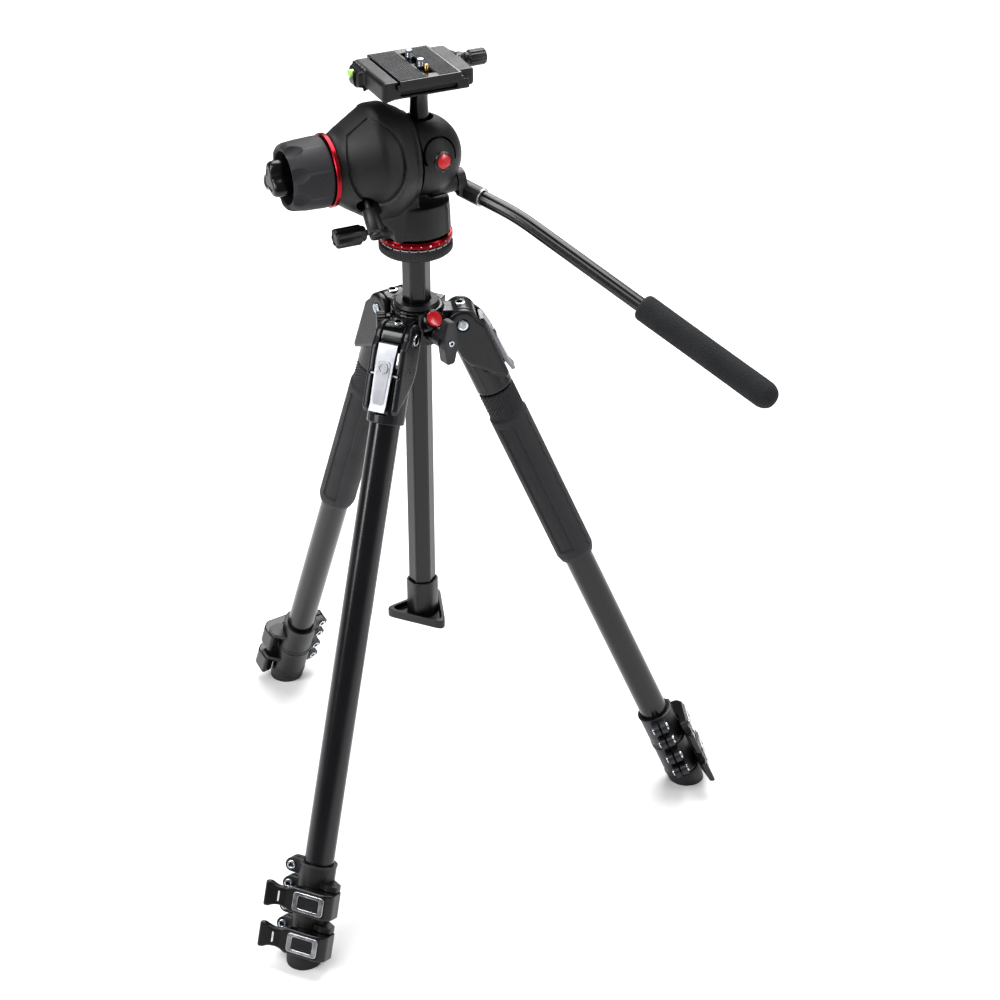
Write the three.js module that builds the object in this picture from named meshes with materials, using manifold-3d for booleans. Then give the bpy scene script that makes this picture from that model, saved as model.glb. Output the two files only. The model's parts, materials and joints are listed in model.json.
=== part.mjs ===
// Camera tripod with a photo-movie head: three telescopic legs on a cast spider, a sliding hexagonal
// centre column and a pan and tilt head with a quick-release platform and an operator's handle.
// Millimetres, +Z up. The front leg points along -Y. The origin is on the floor, under the middle of
// the whole object's box.
import * as THREE from "three";
import { mergeVertices } from "three/addons/utils/BufferGeometryUtils.js";
import Module from "manifold-3d";

const wasm = await Module();
wasm.setup();

// Driving dimensions, in millimetres and degrees.
const GAP = 0.35; // running gap between neighbouring pieces
const FACETS = 24; // sides of a large round
const SMALL_FACETS = 12; // sides of a pin, stud or screw

const LEG_SPREAD = 23; // first stop of the legs, away from the vertical
const HINGE_RADIUS = 36; // hinge axis to the tripod's axis
const HINGE_HEIGHT = 488;
const LEG_TURNS = { front: -90, right: 30, left: 150 };
const GAP_TURNS = { knob: -30, level: 90, plug: 210 }; // directions half way between two legs

const TUBES = {
  upper: { outer: 12.5, inner: 11.3, top: 28, end: 462 },
  middle: { outer: 10.8, inner: 9.7, top: 34, end: 497 },
  lower: { outer: 9.1, inner: 8, top: 40, end: 521 },
};
const CLAMPS = {
  upper: { top: 445, end: 480, step: 463, holds: "upper", guides: "middle" },
  lower: { top: 481, end: 516, step: 498, holds: "middle", guides: "lower" },
};
const CLAMP_RADIUS = 15.5;
const CLAMP_EAR = { y: -21.5, radius: 6, half: 6.2, drops: [6.5, 23] };
const CLAMP_PIVOT = { x: 10, y: 21, pin: 1.7, lugDrop: 13, lug: 4.6 };
const CLAMP_LEVER = { drop: 18.2, height: 22.3, front: 25 };
const FOOT = { top: 517.5, radius: 15.5, bore: 522 };
const GRIP = { top: 72, end: 254, radius: 16.6 };

const KNUCKLE = { radius: 13, half: 9.7 };
const YOKE = { cheekIn: 10.3, cheekOut: 15.8, socketTop: 24, end: 70, radius: 15.6, rail: 17 };
const HINGE_PIN = { radius: 3.2, half: 15.5 };
const LEVER = { pivotDrop: 30, pivotOut: 15.8, pin: 1.4, top: 4, end: 60 };

const HUB = { radius: 21.5, bottom: -15, top: 15, bore: 17 };
const COLUMN = { flat: 10.3, corner: 2.2, wall: 1.6, bottom: 206, top: 551 };
const COLUMN_FOOT = { bottom: 200, flange: 8, top: 238, corner: 29 };
const PLATE = { radius: 30, bottom: 551.4, rim: 9, face: 28.4, faceHeight: 1.3 };
const STUD = { radius: 4.7, height: 12 };
const KNOB = { height: 485 - HINGE_HEIGHT, boss: 7.5, bossEnd: 31, hub: 6.5, wing: 18.5 };

const HEAD_TURN = 49; // the head's lens direction, about the tripod's axis
const HEAD_HEIGHT = PLATE.bottom + PLATE.rim + PLATE.faceHeight + GAP;
const HEAD_BASE = { radius: 30, height: 6.5, bore: 5.3, boreDepth: 5.5 };
const TILT_HEIGHT = 70; // tilt axis above the head's underside
const HOUSING_FACE = -5.5; // plane between the fixed housing and the tilting dome
const DOME = { x: 5, radius: 33, bore: 21.8 };
const BALL = { radius: 20.2, neck: 7, top: 129.5 };
const ROSETTE = { y: -8, z: 46, radius: 9, inner: 31, outer: 38 };
const HANDLE_OUT = { x: 0.507, y: -0.862 }; // the handle's heading, seen from above
const HANDLE = { radius: 6, sleeve: 7.6, sleeveLength: 20, toBend: 54, toGrip: 126, grip: 130 };
const PLATFORM = { left: -32, right: 35, half: 30, bottom: 129.9, floor: 138 };
const SLIDE_PLATE = { left: -26, right: 29, half: 33, bottom: 138.4, lip: 141.6, top: 145 };

const FINISHES = {
  castBlack: material(0x1d1d20, 0.5, 0.3),
  gripRubber: material(0x2a2a2e, 0.85, 0),
  softRubber: material(0x202024, 0.9, 0),
  moulded: material(0x18181a, 0.55, 0),
  anodised: material(0x141416, 0.28, 0.8),
  brushed: material(0xc4c4c6, 0.3, 0.9),
  steel: material(0x9a9a9e, 0.3, 1),
  redAnodised: material(0xa01822, 0.3, 0.8),
  foam: material(0x262628, 0.95, 0),
};

function material(color, roughness, metalness) {
  return new THREE.MeshStandardMaterial({ color, roughness, metalness });
}

function radians(degrees) {
  return (degrees * Math.PI) / 180;
}

// A closed geometry as a solid that can be joined and cut.
function solid(geometry) {
  const bare = geometry.index ? geometry.toNonIndexed() : geometry.clone();
  bare.deleteAttribute("normal");
  bare.deleteAttribute("uv");
  const merged = mergeVertices(bare, 1e-4);
  return new wasm.Manifold(
    new wasm.Mesh({
      numProp: 3,
      vertProperties: merged.attributes.position.array,
      triVerts: new Uint32Array(merged.index.array),
    }),
  );
}

// A finished solid as a named mesh.
function mesh(name, shape, finish) {
  const made = shape.getMesh();
  const geometry = new THREE.BufferGeometry();
  geometry.setAttribute("position", new THREE.BufferAttribute(made.vertProperties, 3));
  geometry.setIndex(new THREE.BufferAttribute(made.triVerts, 1));
  geometry.computeVertexNormals();
  const part = new THREE.Mesh(geometry, finish);
  part.name = name;
  return part;
}

function join(first, ...rest) {
  return rest.reduce((whole, piece) => whole.add(piece), first);
}

function cut(first, ...rest) {
  return rest.reduce((whole, piece) => whole.subtract(piece), first);
}

// Turns a geometry that stands along Z so that it runs along the axis asked for.
function along(geometry, axis) {
  if (axis === "x") return geometry.rotateY(Math.PI / 2);
  if (axis === "y") return geometry.rotateX(-Math.PI / 2);
  return geometry;
}

// A rod along an axis, from one place on it to another.
function rod(radius, from, to, options = {}) {
  const { axis = "z", at = [0, 0, 0], facets = FACETS, end = radius } = options;
  const geometry = new THREE.CylinderGeometry(end, radius, to - from, facets);
  geometry.rotateX(Math.PI / 2).translate(0, 0, (from + to) / 2);
  return solid(along(geometry, axis).translate(...at));
}

function block(low, high) {
  const size = high.map((value, i) => value - low[i]);
  const middle = high.map((value, i) => (value + low[i]) / 2);
  return solid(new THREE.BoxGeometry(...size).translate(...middle));
}

function outline(points) {
  return new THREE.Shape(points.map(([x, y]) => new THREE.Vector2(x, y)));
}

// A polygon with its corners rounded off.
function roundedOutline(points, radius) {
  const shape = new THREE.Shape();
  const corners = points.map(([x, y]) => new THREE.Vector2(x, y));
  corners.forEach((corner, i) => {
    const before = corners[(i + corners.length - 1) % corners.length];
    const after = corners[(i + 1) % corners.length];
    const start = before.clone().sub(corner).setLength(radius).add(corner);
    const finish = after.clone().sub(corner).setLength(radius).add(corner);
    if (i === 0) shape.moveTo(start.x, start.y);
    else shape.lineTo(start.x, start.y);
    shape.quadraticCurveTo(corner.x, corner.y, finish.x, finish.y);
  });
  shape.closePath();
  return shape;
}

// A shape in the XY plane, drawn out along Z.
function prism(shape, from, to, curveSegments = 4) {
  const settings = { depth: to - from, bevelEnabled: false, curveSegments };
  return solid(new THREE.ExtrudeGeometry(shape, settings).translate(0, 0, from));
}

// A shape in the XZ plane, drawn out along Y.
function sidePrism(shape, from, to, curveSegments = 4) {
  const settings = { depth: to - from, bevelEnabled: false, curveSegments };
  const geometry = new THREE.ExtrudeGeometry(shape, settings);
  return solid(geometry.rotateX(Math.PI / 2).translate(0, to, 0));
}

// A profile of [radius, height] points turned about Z. It starts and ends on the axis.
function turned(profile, facets = FACETS) {
  const points = profile.map(([radius, height]) => new THREE.Vector2(radius, height));
  return new THREE.LatheGeometry(points, facets).rotateX(Math.PI / 2);
}

function hollowTube({ outer, inner, top, end }) {
  return cut(rod(outer, -end, -top), rod(inner, -end - 1, -top + 1));
}

// Points round a hexagon whose flats lie at a distance from the middle, one of them facing +X.
function hexagon(flat) {
  const reach = flat / Math.cos(radians(30));
  return [30, 90, 150, 210, 270, 330].map((turn) => [
    reach * Math.cos(radians(turn)),
    reach * Math.sin(radians(turn)),
  ]);
}

// ---- Spider, column and plate. Heights are measured from the hinge axes for the spider.

// A solid made along +X, turned about Z.
function turnedAbout(shape, degrees) {
  return shape.rotate([0, 0, degrees]);
}

function spiderArm() {
  const arm = block([14, -KNUCKLE.half, -9], [HINGE_RADIUS, KNUCKLE.half, 11]);
  const knuckle = rod(KNUCKLE.radius, -KNUCKLE.half, KNUCKLE.half, {
    axis: "y",
    at: [HINGE_RADIUS, 0, 0],
    facets: 24,
  });
  return arm.add(knuckle);
}

function spiderCasting() {
  const arms = Object.values(LEG_TURNS).map((turn) => turnedAbout(spiderArm(), turn));
  const knobBoss = rod(KNOB.boss, 15, KNOB.bossEnd, { axis: "x", at: [0, 0, KNOB.height] });
  const plugBoss = rod(7.5, 15, 26, { axis: "x", at: [0, 0, -1] });
  const levelLug = block([15, -7.5, -4], [40, 7.5, 6]);
  const body = join(
    rod(HUB.radius, HUB.bottom, HUB.top),
    ...arms,
    turnedAbout(knobBoss, GAP_TURNS.knob),
    turnedAbout(plugBoss, GAP_TURNS.plug),
    turnedAbout(levelLug, GAP_TURNS.level),
  );
  const shaftHole = rod(3.2, 10, 40, { axis: "x", at: [0, 0, KNOB.height], facets: SMALL_FACETS });
  const pinHoles = Object.values(LEG_TURNS).map((turn) =>
    turnedAbout(
      rod(HINGE_PIN.radius + GAP, -20, 20, {
        axis: "y",
        at: [HINGE_RADIUS, 0, 0],
        facets: SMALL_FACETS,
      }),
      turn,
    ),
  );
  const bore = rod(HUB.bore, HUB.bottom - 5, HUB.top + 5);
  return cut(body, bore, turnedAbout(shaftHole, GAP_TURNS.knob), ...pinHoles);
}

// Plastic sleeve in the spider that guides the column, with a collar on top.
function columnBush() {
  const sleeve = rod(HUB.bore - GAP, HUB.bottom + 1, HUB.top + GAP);
  const collar = rod(19, HUB.top + GAP, HUB.top + 4, { end: 17.5 });
  const bore = prism(roundedOutline(hexagon(COLUMN.flat + 0.5), COLUMN.corner), -30, 30, 2);
  const shaftHole = rod(3.2, 5, 30, { axis: "x", at: [0, 0, KNOB.height], facets: SMALL_FACETS });
  return cut(join(sleeve, collar), bore, turnedAbout(shaftHole, GAP_TURNS.knob));
}

function accessoryPlug() {
  const teeth = 20;
  const rim = Array.from({ length: teeth * 2 }, (_, i) => {
    const radius = i % 2 ? 8.6 : 9.4;
    const turn = (i / (teeth * 2)) * Math.PI * 2;
    return [radius * Math.cos(turn), radius * Math.sin(turn)];
  });
  const settings = { depth: 7, bevelEnabled: false };
  const cap = new THREE.ExtrudeGeometry(outline(rim), settings).rotateY(Math.PI / 2);
  return turnedAbout(solid(cap.translate(26 + GAP, 0, -1)), GAP_TURNS.plug);
}

// Wing knob on a threaded shaft that presses on the column. Made along +X, then turned.
function columnLockKnob() {
  const wing = roundedOutline(
    [
      [-4.5, -KNOB.wing],
      [3, -KNOB.wing],
      [6.5, -5],
      [6.5, 5],
      [4.5, KNOB.wing],
      [-3, KNOB.wing],
      [-6.5, 5],
      [-6.5, -5],
    ],
    2,
  );
  const settings = { depth: 9, bevelEnabled: false, curveSegments: 3 };
  const blade = new THREE.ExtrudeGeometry(wing, settings).rotateX(Math.PI / 2).rotateZ(Math.PI / 2);
  const hub = rod(KNOB.hub + 1, KNOB.bossEnd + GAP, 40, { axis: "x" });
  const shaft = rod(2.8, 12.8, KNOB.bossEnd + 2, { axis: "x", facets: SMALL_FACETS });
  return join(hub, shaft, solid(blade.translate(39, 0, 0)));
}

function columnTube() {
  const outer = prism(roundedOutline(hexagon(COLUMN.flat), COLUMN.corner), COLUMN.bottom, COLUMN.top, 2);
  const inner = roundedOutline(hexagon(COLUMN.flat - COLUMN.wall), 1.6);
  return outer.subtract(prism(inner, COLUMN.bottom - 1, COLUMN.top + 1, 2));
}

// Cap on the column's lower end: a sleeve on a three-cornered foot, with raised edges.
function columnFoot() {
  const corners = Object.values(GAP_TURNS).map((turn) => [
    (COLUMN_FOOT.corner + 6) * Math.cos(radians(turn)),
    (COLUMN_FOOT.corner + 6) * Math.sin(radians(turn)),
  ]);
  const inset = corners.map(([x, y]) => [x * 0.82, y * 0.82]);
  const { bottom, flange, top } = COLUMN_FOOT;
  const foot = prism(roundedOutline(corners, 10), bottom, bottom + flange);
  const tray = prism(roundedOutline(inset, 8), bottom + 3, bottom + flange + 1);
  const sleeve = prism(roundedOutline(hexagon(COLUMN.flat + 2), 2.4), bottom, top, 2);
  const seat = prism(roundedOutline(hexagon(COLUMN.flat + GAP), COLUMN.corner), COLUMN.bottom - GAP, top + 1, 2);
  return foot.subtract(tray).add(sleeve).subtract(seat);
}

function plateRim() {
  const rim = rod(PLATE.radius, PLATE.bottom, PLATE.bottom + PLATE.rim, { facets: 40 });
  const studHole = rod(STUD.radius + GAP, PLATE.bottom + 3, PLATE.bottom + 20, { facets: SMALL_FACETS });
  return rim.subtract(studHole);
}

function plateFace() {
  const base = PLATE.bottom + PLATE.rim + 0.02;
  const face = rod(PLATE.face, base, base + PLATE.faceHeight - 0.04, { facets: 40 });
  const studHole = rod(STUD.radius + GAP, base - 1, base + 5, { facets: SMALL_FACETS });
  return face.subtract(studHole);
}

function headStud() {
  const top = PLATE.bottom + PLATE.rim + PLATE.faceHeight;
  return join(
    rod(STUD.radius, PLATE.bottom + 3 + GAP, top + 3.5, { facets: SMALL_FACETS }),
    rod(STUD.radius, top + 3.5, top + 4.6, { facets: SMALL_FACETS, end: STUD.radius - 1 }),
  );
}

function columnGroup() {
  const group = new THREE.Group();
  group.add(
    mesh("column_tube", columnTube(), FINISHES.anodised),
    mesh("column_foot", columnFoot(), FINISHES.moulded),
    mesh("plate_rim", plateRim(), FINISHES.softRubber),
    mesh("plate_face", plateFace(), FINISHES.brushed),
    mesh("head_stud", headStud(), FINISHES.steel),
  );
  return group;
}

// ---- A leg. The hinge is the origin, the leg runs down -Z, +X faces outwards.

function yoke() {
  const cheek = new THREE.Shape();
  cheek.absarc(0, 0, KNUCKLE.radius, 0, Math.PI, false);
  cheek.lineTo(-KNUCKLE.radius, -26);
  cheek.lineTo(-10, -36);
  cheek.lineTo(YOKE.rail - 3, -62);
  cheek.lineTo(YOKE.rail, -58);
  cheek.lineTo(YOKE.rail, -8);
  cheek.closePath();
  const cheeks = [-1, 1].map((side) => {
    const faces = [side * YOKE.cheekIn, side * YOKE.cheekOut].sort((a, b) => a - b);
    return sidePrism(cheek, ...faces, 8);
  });
  const socket = rod(YOKE.radius, -YOKE.end, -YOKE.socketTop);
  const tubeBore = rod(TUBES.upper.outer + GAP, -YOKE.end - 1, -TUBES.upper.top + GAP);
  const channel = block([13.6, -YOKE.cheekIn + 0.2, -62.5], [25, YOKE.cheekIn - 0.2, 20]);
  const pinHole = rod(HINGE_PIN.radius + GAP, -20, 20, { axis: "y", facets: SMALL_FACETS });
  const leverHole = rod(LEVER.pin + GAP, -13, 13, {
    axis: "y",
    at: [LEVER.pivotOut, 0, -LEVER.pivotDrop],
    facets: SMALL_FACETS,
  });
  return cut(join(socket, ...cheeks), tubeBore, channel, pinHole, leverHole);
}

// Silver lever in the yoke's outer channel. Pressing its lower end lifts its upper end off the knuckle.
function angleLever() {
  const side = outline([
    [14, -LEVER.top],
    [17.2, -LEVER.top - 1],
    [19.4, -18],
    [20.2, -44],
    [20.6, -54],
    [22.6, -LEVER.end],
    [19.6, -LEVER.end],
    [17.4, -50],
    [16.6, -36],
    [14.1, -33],
    [14.1, -16],
  ]);
  const front = outline([
    [-8.6, -2],
    [8.6, -2],
    [7, -LEVER.end - 1],
    [-7, -LEVER.end - 1],
  ]);
  const settings = { depth: 12, bevelEnabled: false };
  const taper = new THREE.ExtrudeGeometry(front, settings);
  taper.rotateX(Math.PI / 2).rotateZ(Math.PI / 2).translate(13, 0, 0);
  const pin = rod(LEVER.pin, -12, 12, {
    axis: "y",
    at: [LEVER.pivotOut, 0, -LEVER.pivotDrop],
    facets: SMALL_FACETS,
  });
  return sidePrism(side, -10, 10).intersect(solid(taper)).add(pin);
}

function hingePin() {
  return rod(HINGE_PIN.radius, -HINGE_PIN.half, HINGE_PIN.half, { axis: "y", facets: SMALL_FACETS });
}

// Split collar with two bolt ears on its -Y side and a lug with the lever's pin on its +Y side.
function clampCollar(clamp) {
  const { top, end, step, holds, guides } = clamp;
  const ring = rod(CLAMP_RADIUS, -end, -top);
  const ears = CLAMP_EAR.drops.flatMap((drop) => {
    const middle = -top - drop;
    const { y, radius, half } = CLAMP_EAR;
    const tip = rod(radius, -half, half, { axis: "x", at: [0, y, middle], facets: 14 });
    return [block([-half, y, middle - radius], [half, -12, middle + radius]), tip];
  });
  const lugTop = -top - CLAMP_PIVOT.lugDrop;
  const lugEnd = lugTop - CLAMP_PIVOT.lug;
  const { x, y, pin } = CLAMP_PIVOT;
  const lug = prism(
    roundedOutline(
      [
        [-8, 10],
        [10, 4],
        [x + 5.5, y - 5],
        [x + 4, y + 4.5],
        [x - 5, y + 4.5],
      ],
      2,
    ),
    lugEnd,
    lugTop,
    3,
  );
  const post = rod(pin, lugEnd - CLAMP_LEVER.height - 0.4, lugTop - 1, {
    at: [x, y, 0],
    facets: SMALL_FACETS,
  });
  const slit = block([-0.8, -40, -end - 1], [0.8, -8, -top + 1]);
  const wide = rod(TUBES[holds].outer + GAP, -step, -top + 1);
  const narrow = rod(TUBES[guides].outer + GAP, -end - 1, -step + 1);
  return cut(join(ring, ...ears, lug, post), slit, wide, narrow);
}

// Lever that wraps round the collar's outer side and ends in a flared finger tab.
function clampLever(clamp) {
  const { x, y, pin } = CLAMP_PIVOT;
  const bodyShape = roundedOutline(
    [
      [4.5, 26.5],
      [5, 16],
      [14, 12],
      [17, 0],
      [16.5, -13],
      [21, -33],
      [26, -34.5],
      [24, -14],
      [CLAMP_LEVER.front, 0],
      [CLAMP_LEVER.front, 20],
      [20, 26.5],
    ],
    2.4,
  );
  const top = -clamp.top - CLAMP_LEVER.drop;
  const body = prism(bodyShape, top - CLAMP_LEVER.height, top, 3);
  const sweep = rod(CLAMP_RADIUS + 1, top - 40, top + 10);
  const pinHole = rod(pin + GAP, top - 40, top + 10, { at: [x, y, 0], facets: SMALL_FACETS });
  return cut(body, sweep, pinHole);
}

// Rubber boot on the lowest tube, cut so that it stands flat on the floor.
function rubberFoot() {
  const boot = rod(FOOT.radius, -FOOT.top - 25, -FOOT.top);
  const bore = rod(TUBES.lower.outer + GAP, -FOOT.bore, -FOOT.top + 1);
  const floor = new THREE.BoxGeometry(600, 120, 80).translate(0, 0, -40 - HINGE_HEIGHT);
  return cut(boot, bore, solid(floor.rotateY(radians(LEG_SPREAD))));
}

// Sleeve of rubber over the upper tube, with a shallow panel down its inner side.
function gripSleeve() {
  const { top, end, radius } = GRIP;
  const sleeve = rod(radius, -end, -top);
  const bore = rod(TUBES.upper.outer + GAP, -end - 1, -top + 1);
  const panel = block([-radius - 1, -8, -end + 8], [-radius + 0.8, 8, -top - 26]);
  return cut(sleeve, bore, panel);
}

function legGroup(side) {
  const leg = new THREE.Group();
  const hasGrip = side !== "front";
  leg.add(
    mesh(`leg_yoke_${side}`, yoke(), FINISHES.castBlack),
    mesh(`angle_lever_${side}`, angleLever(), FINISHES.brushed),
    mesh(`hinge_pin_${side}`, hingePin(), FINISHES.steel),
    mesh(`upper_tube_${side}`, hollowTube(TUBES.upper), FINISHES.anodised),
    mesh(`upper_clamp_${side}`, clampCollar(CLAMPS.upper), FINISHES.moulded),
    mesh(`upper_clamp_lever_${side}`, clampLever(CLAMPS.upper), FINISHES.moulded),
    mesh(`middle_tube_${side}`, hollowTube(TUBES.middle), FINISHES.anodised),
    mesh(`lower_clamp_${side}`, clampCollar(CLAMPS.lower), FINISHES.moulded),
    mesh(`lower_clamp_lever_${side}`, clampLever(CLAMPS.lower), FINISHES.moulded),
    mesh(`lower_tube_${side}`, hollowTube(TUBES.lower), FINISHES.anodised),
    mesh(`rubber_foot_${side}`, rubberFoot(), FINISHES.softRubber),
  );
  if (hasGrip) leg.add(mesh(`leg_grip_${side}`, gripSleeve(), FINISHES.gripRubber));
  leg.position.set(HINGE_RADIUS, 0, HINGE_HEIGHT);
  leg.rotation.y = radians(-LEG_SPREAD);
  const spoke = new THREE.Group();
  spoke.add(leg);
  spoke.rotation.z = radians(LEG_TURNS[side]);
  return spoke;
}

// ---- The head. The origin is the middle of its underside, the tilt axis runs along X, the lens
// looks along +Y and the operator stands at -Y.

function headBaseRing() {
  const { radius, height, bore, boreDepth } = HEAD_BASE;
  const disc = join(
    rod(radius, 0, height - 1.5, { facets: 40 }),
    rod(radius, height - 1.5, height, { facets: 40, end: radius - 1.5 }),
  );
  return disc.subtract(rod(bore, -1, boreDepth, { facets: SMALL_FACETS }));
}

// Fixed housing: a bulb round the tilt axis on a round base.
function headHousing() {
  const bulb = turned([
    [0, -72],
    [27.5, -72],
    [30, -66],
    [39, -53],
    [45.5, -40],
    [47.5, -29],
    [45, -17],
    [38, -7.5],
    [36, HOUSING_FACE],
    [0, HOUSING_FACE],
  ]);
  bulb.rotateY(Math.PI / 2).scale(1, 0.86, 1).translate(0, 0, TILT_HEIGHT);
  const low = HEAD_BASE.height + GAP;
  const base = rod(28.6, low, 34, { end: 27.5 });
  const skirt = outline([
    [-27, low],
    [-29, 18],
    [-60, 44],
    [-60, 66],
    [HOUSING_FACE, 66],
    [HOUSING_FACE, 34],
    [20, 30],
    [20, low],
  ]);
  const knobBoss = rod(6.5, -42, -20, { axis: "x", at: [0, -8, 15], facets: 20 });
  const body = join(solid(bulb), base, sidePrism(skirt, -23, 23), knobBoss);
  const ballRoom = solid(new THREE.SphereGeometry(DOME.bore, 20, 12).translate(DOME.x, 0, TILT_HEIGHT));
  const spindle = rod(8.4, -80, 0, { axis: "x", at: [0, 0, TILT_HEIGHT], facets: 20 });
  const tiltRoom = rod(35.6, HOUSING_FACE, 40, { axis: "x", at: [0, 0, TILT_HEIGHT] });
  const dragRoom = dragAxis(rod(9.2, 28, 60, { facets: 20 }));
  const panScrew = rod(2.9, -60, -22, { axis: "x", at: [0, -8, 15], facets: SMALL_FACETS });
  return cut(body, ballRoom, spindle, tiltRoom, dragRoom, panScrew);
}

// Puts a solid made along +Z on the drag knob's axis, which points down and towards the operator.
function dragAxis(shape) {
  return shape.rotate([135, 0, 0]).translate([-50, 0, TILT_HEIGHT]);
}

function dragKnob() {
  return dragAxis(join(rod(6.6, 38, 62, { facets: 24 }), rod(3, 29, 39, { facets: SMALL_FACETS })));
}

function redRing() {
  const ring = rod(29.3, -76.4, -72 - GAP, { axis: "x", at: [0, 0, TILT_HEIGHT], facets: 40 });
  return ring.subtract(rod(18, -80, -60, { axis: "x", at: [0, 0, TILT_HEIGHT] }));
}

// Points round a knob's outline, with shallow hollows between its lobes.
function lobed(radius, lobes, depth, samples) {
  return Array.from({ length: samples }, (_, i) => {
    const turn = (i / samples) * Math.PI * 2;
    const reach = radius - depth * (0.5 - 0.5 * Math.cos(turn * lobes));
    return [reach * Math.cos(turn), reach * Math.sin(turn)];
  });
}

// An outline in the YZ plane, drawn out along X.
function drawnAlongX(points, from, to, at) {
  const settings = { depth: to - from, bevelEnabled: false };
  const geometry = new THREE.ExtrudeGeometry(outline(points), settings).rotateY(Math.PI / 2);
  return solid(geometry.translate(from + at[0], at[1], at[2]));
}

function frictionRing() {
  const axis = [0, 0, TILT_HEIGHT];
  const body = drawnAlongX(lobed(28.3, 8, 1.2, 48), -110, -76.4 - GAP, axis);
  const recess = rod(20.5, -115, -92, { axis: "x", at: axis });
  const bore = rod(9, -115, -60, { axis: "x", at: axis, facets: 20 });
  return cut(body, recess, bore);
}

function starKnob() {
  const axis = [0, 0, TILT_HEIGHT];
  const wings = drawnAlongX(lobed(16.5, 3, 7.5, 36), -122, -97, axis);
  return wings.add(rod(7.6, -100, -40, { axis: "x", at: axis, facets: 20 }));
}

function panLockKnob() {
  const at = [0, -8, 15];
  const grip = drawnAlongX(lobed(8.4, 7, 1.6, 42), -73, -48, at);
  return grip.add(rod(2.5, -49, -24, { axis: "x", at, facets: SMALL_FACETS }));
}

// Dome that tilts, with the lug that carries the handle's rosette.
function tiltDome() {
  const sphere = new THREE.SphereGeometry(DOME.radius, 28, 16).rotateX(Math.PI / 2);
  const dome = solid(sphere.translate(DOME.x, 0, TILT_HEIGHT));
  const away = block([-60, -60, 0], [HOUSING_FACE + 1, 60, 140]);
  const ballRoom = solid(new THREE.SphereGeometry(DOME.bore, 20, 12).translate(DOME.x, 0, TILT_HEIGHT));
  const lug = rod(ROSETTE.radius, 8, ROSETTE.inner - GAP, {
    axis: "x",
    at: [0, ROSETTE.y, ROSETTE.z],
    facets: 24,
  });
  const stemRoom = rod(BALL.neck + 4.2, TILT_HEIGHT, 120, { at: [DOME.x, 0, 0] });
  const spotFace = rod(ROSETTE.radius + 9, ROSETTE.inner - GAP, 60, {
    axis: "x",
    at: [0, ROSETTE.y, ROSETTE.z],
  });
  return cut(dome.add(lug), away, ballRoom, stemRoom, spotFace);
}

// Ball with the stem that carries the platform.
function ballStem() {
  const { radius, neck, top } = BALL;
  const steps = 8;
  const profile = [[0, -radius]];
  for (let i = 1; i <= steps; i += 1) {
    const turn = radians(-90 + (i * 148) / steps);
    profile.push([radius * Math.cos(turn), radius * Math.sin(turn)]);
  }
  const rise = top - TILT_HEIGHT;
  profile.push([9, radius + 1], [neck + 0.6, radius + 14], [neck, rise - 12], [neck + 3, rise - 3]);
  profile.push([neck + 9, rise], [0, rise]);
  return solid(turned(profile, 24).translate(DOME.x, 0, TILT_HEIGHT));
}

function quickReleaseBase() {
  const { left, right, half, bottom, floor } = PLATFORM;
  const { lip, top } = SLIDE_PLATE;
  const floorPlate = block([left, -half, bottom], [right, half, floor]);
  const fixedJaw = sidePrism(
    outline([
      [left - 5, bottom - 2],
      [left + 4, bottom],
      [SLIDE_PLATE.left - GAP, floor],
      [SLIDE_PLATE.left - GAP, lip + GAP],
      [SLIDE_PLATE.left + 1.6, lip + GAP],
      [SLIDE_PLATE.left + 1.6, top - 1],
      [left - 5, top - 1],
    ]),
    -half,
    half,
  );
  const clampJaw = sidePrism(
    outline([
      [right - 4, bottom],
      [right + 6, bottom + 1],
      [right + 6, top - 1],
      [SLIDE_PLATE.right - 1.6, top - 1],
      [SLIDE_PLATE.right - 1.6, lip + GAP],
      [SLIDE_PLATE.right + GAP, lip + GAP],
      [SLIDE_PLATE.right + GAP, floor],
    ]),
    -half + 4,
    half,
  );
  const screwBoss = rod(6.5, right + 5, right + 12, { axis: "x", at: [0, 8, 138.5], facets: 20 });
  const screwHole = rod(2.9, right - 1, right + 20, { axis: "x", at: [0, 8, 138.5], facets: SMALL_FACETS });
  const levelSeat = block([left - 10, 8, bottom - 2], [left - 4, half - 2, top - 3]);
  return cut(join(floorPlate, fixedJaw, clampJaw, screwBoss, levelSeat), screwHole);
}

// Plate that screws to the camera and slides in the platform along the lens direction.
function slidingPlate() {
  const { left, right, half, bottom, lip, top } = SLIDE_PLATE;
  const low = block([left, -half, bottom], [right, half, lip]);
  const high = block([left + 2, -half, lip - 1], [right - 2, half, top]);
  const slot = block([0.2, -24, bottom - 5], [7.2, 24, top + 5]);
  const headRoom = block([-4.5, -26, bottom - 5], [11.9, 26, lip - 0.4]);
  return cut(join(low, high), slot, headRoom);
}

function cameraScrew() {
  const { lip, bottom, top } = SLIDE_PLATE;
  const at = [3.7, -8, 0];
  return join(
    rod(7.4, bottom + 0.3, lip - 0.8, { at, facets: 20 }),
    rod(3.1, lip - 1, top + 5, { at, facets: SMALL_FACETS }),
    rod(3.1, top + 5, top + 6, { at, facets: SMALL_FACETS, end: 2.3 }),
  );
}

function quickReleaseKnob() {
  const at = [0, 8, 138.5];
  const start = PLATFORM.right + 12 + GAP;
  return join(
    drawnAlongX(lobed(6.6, 12, 0.7, 48), start, start + 18, at),
    rod(2.5, PLATFORM.right, start + 1, { axis: "x", at, facets: SMALL_FACETS }),
  );
}

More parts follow.
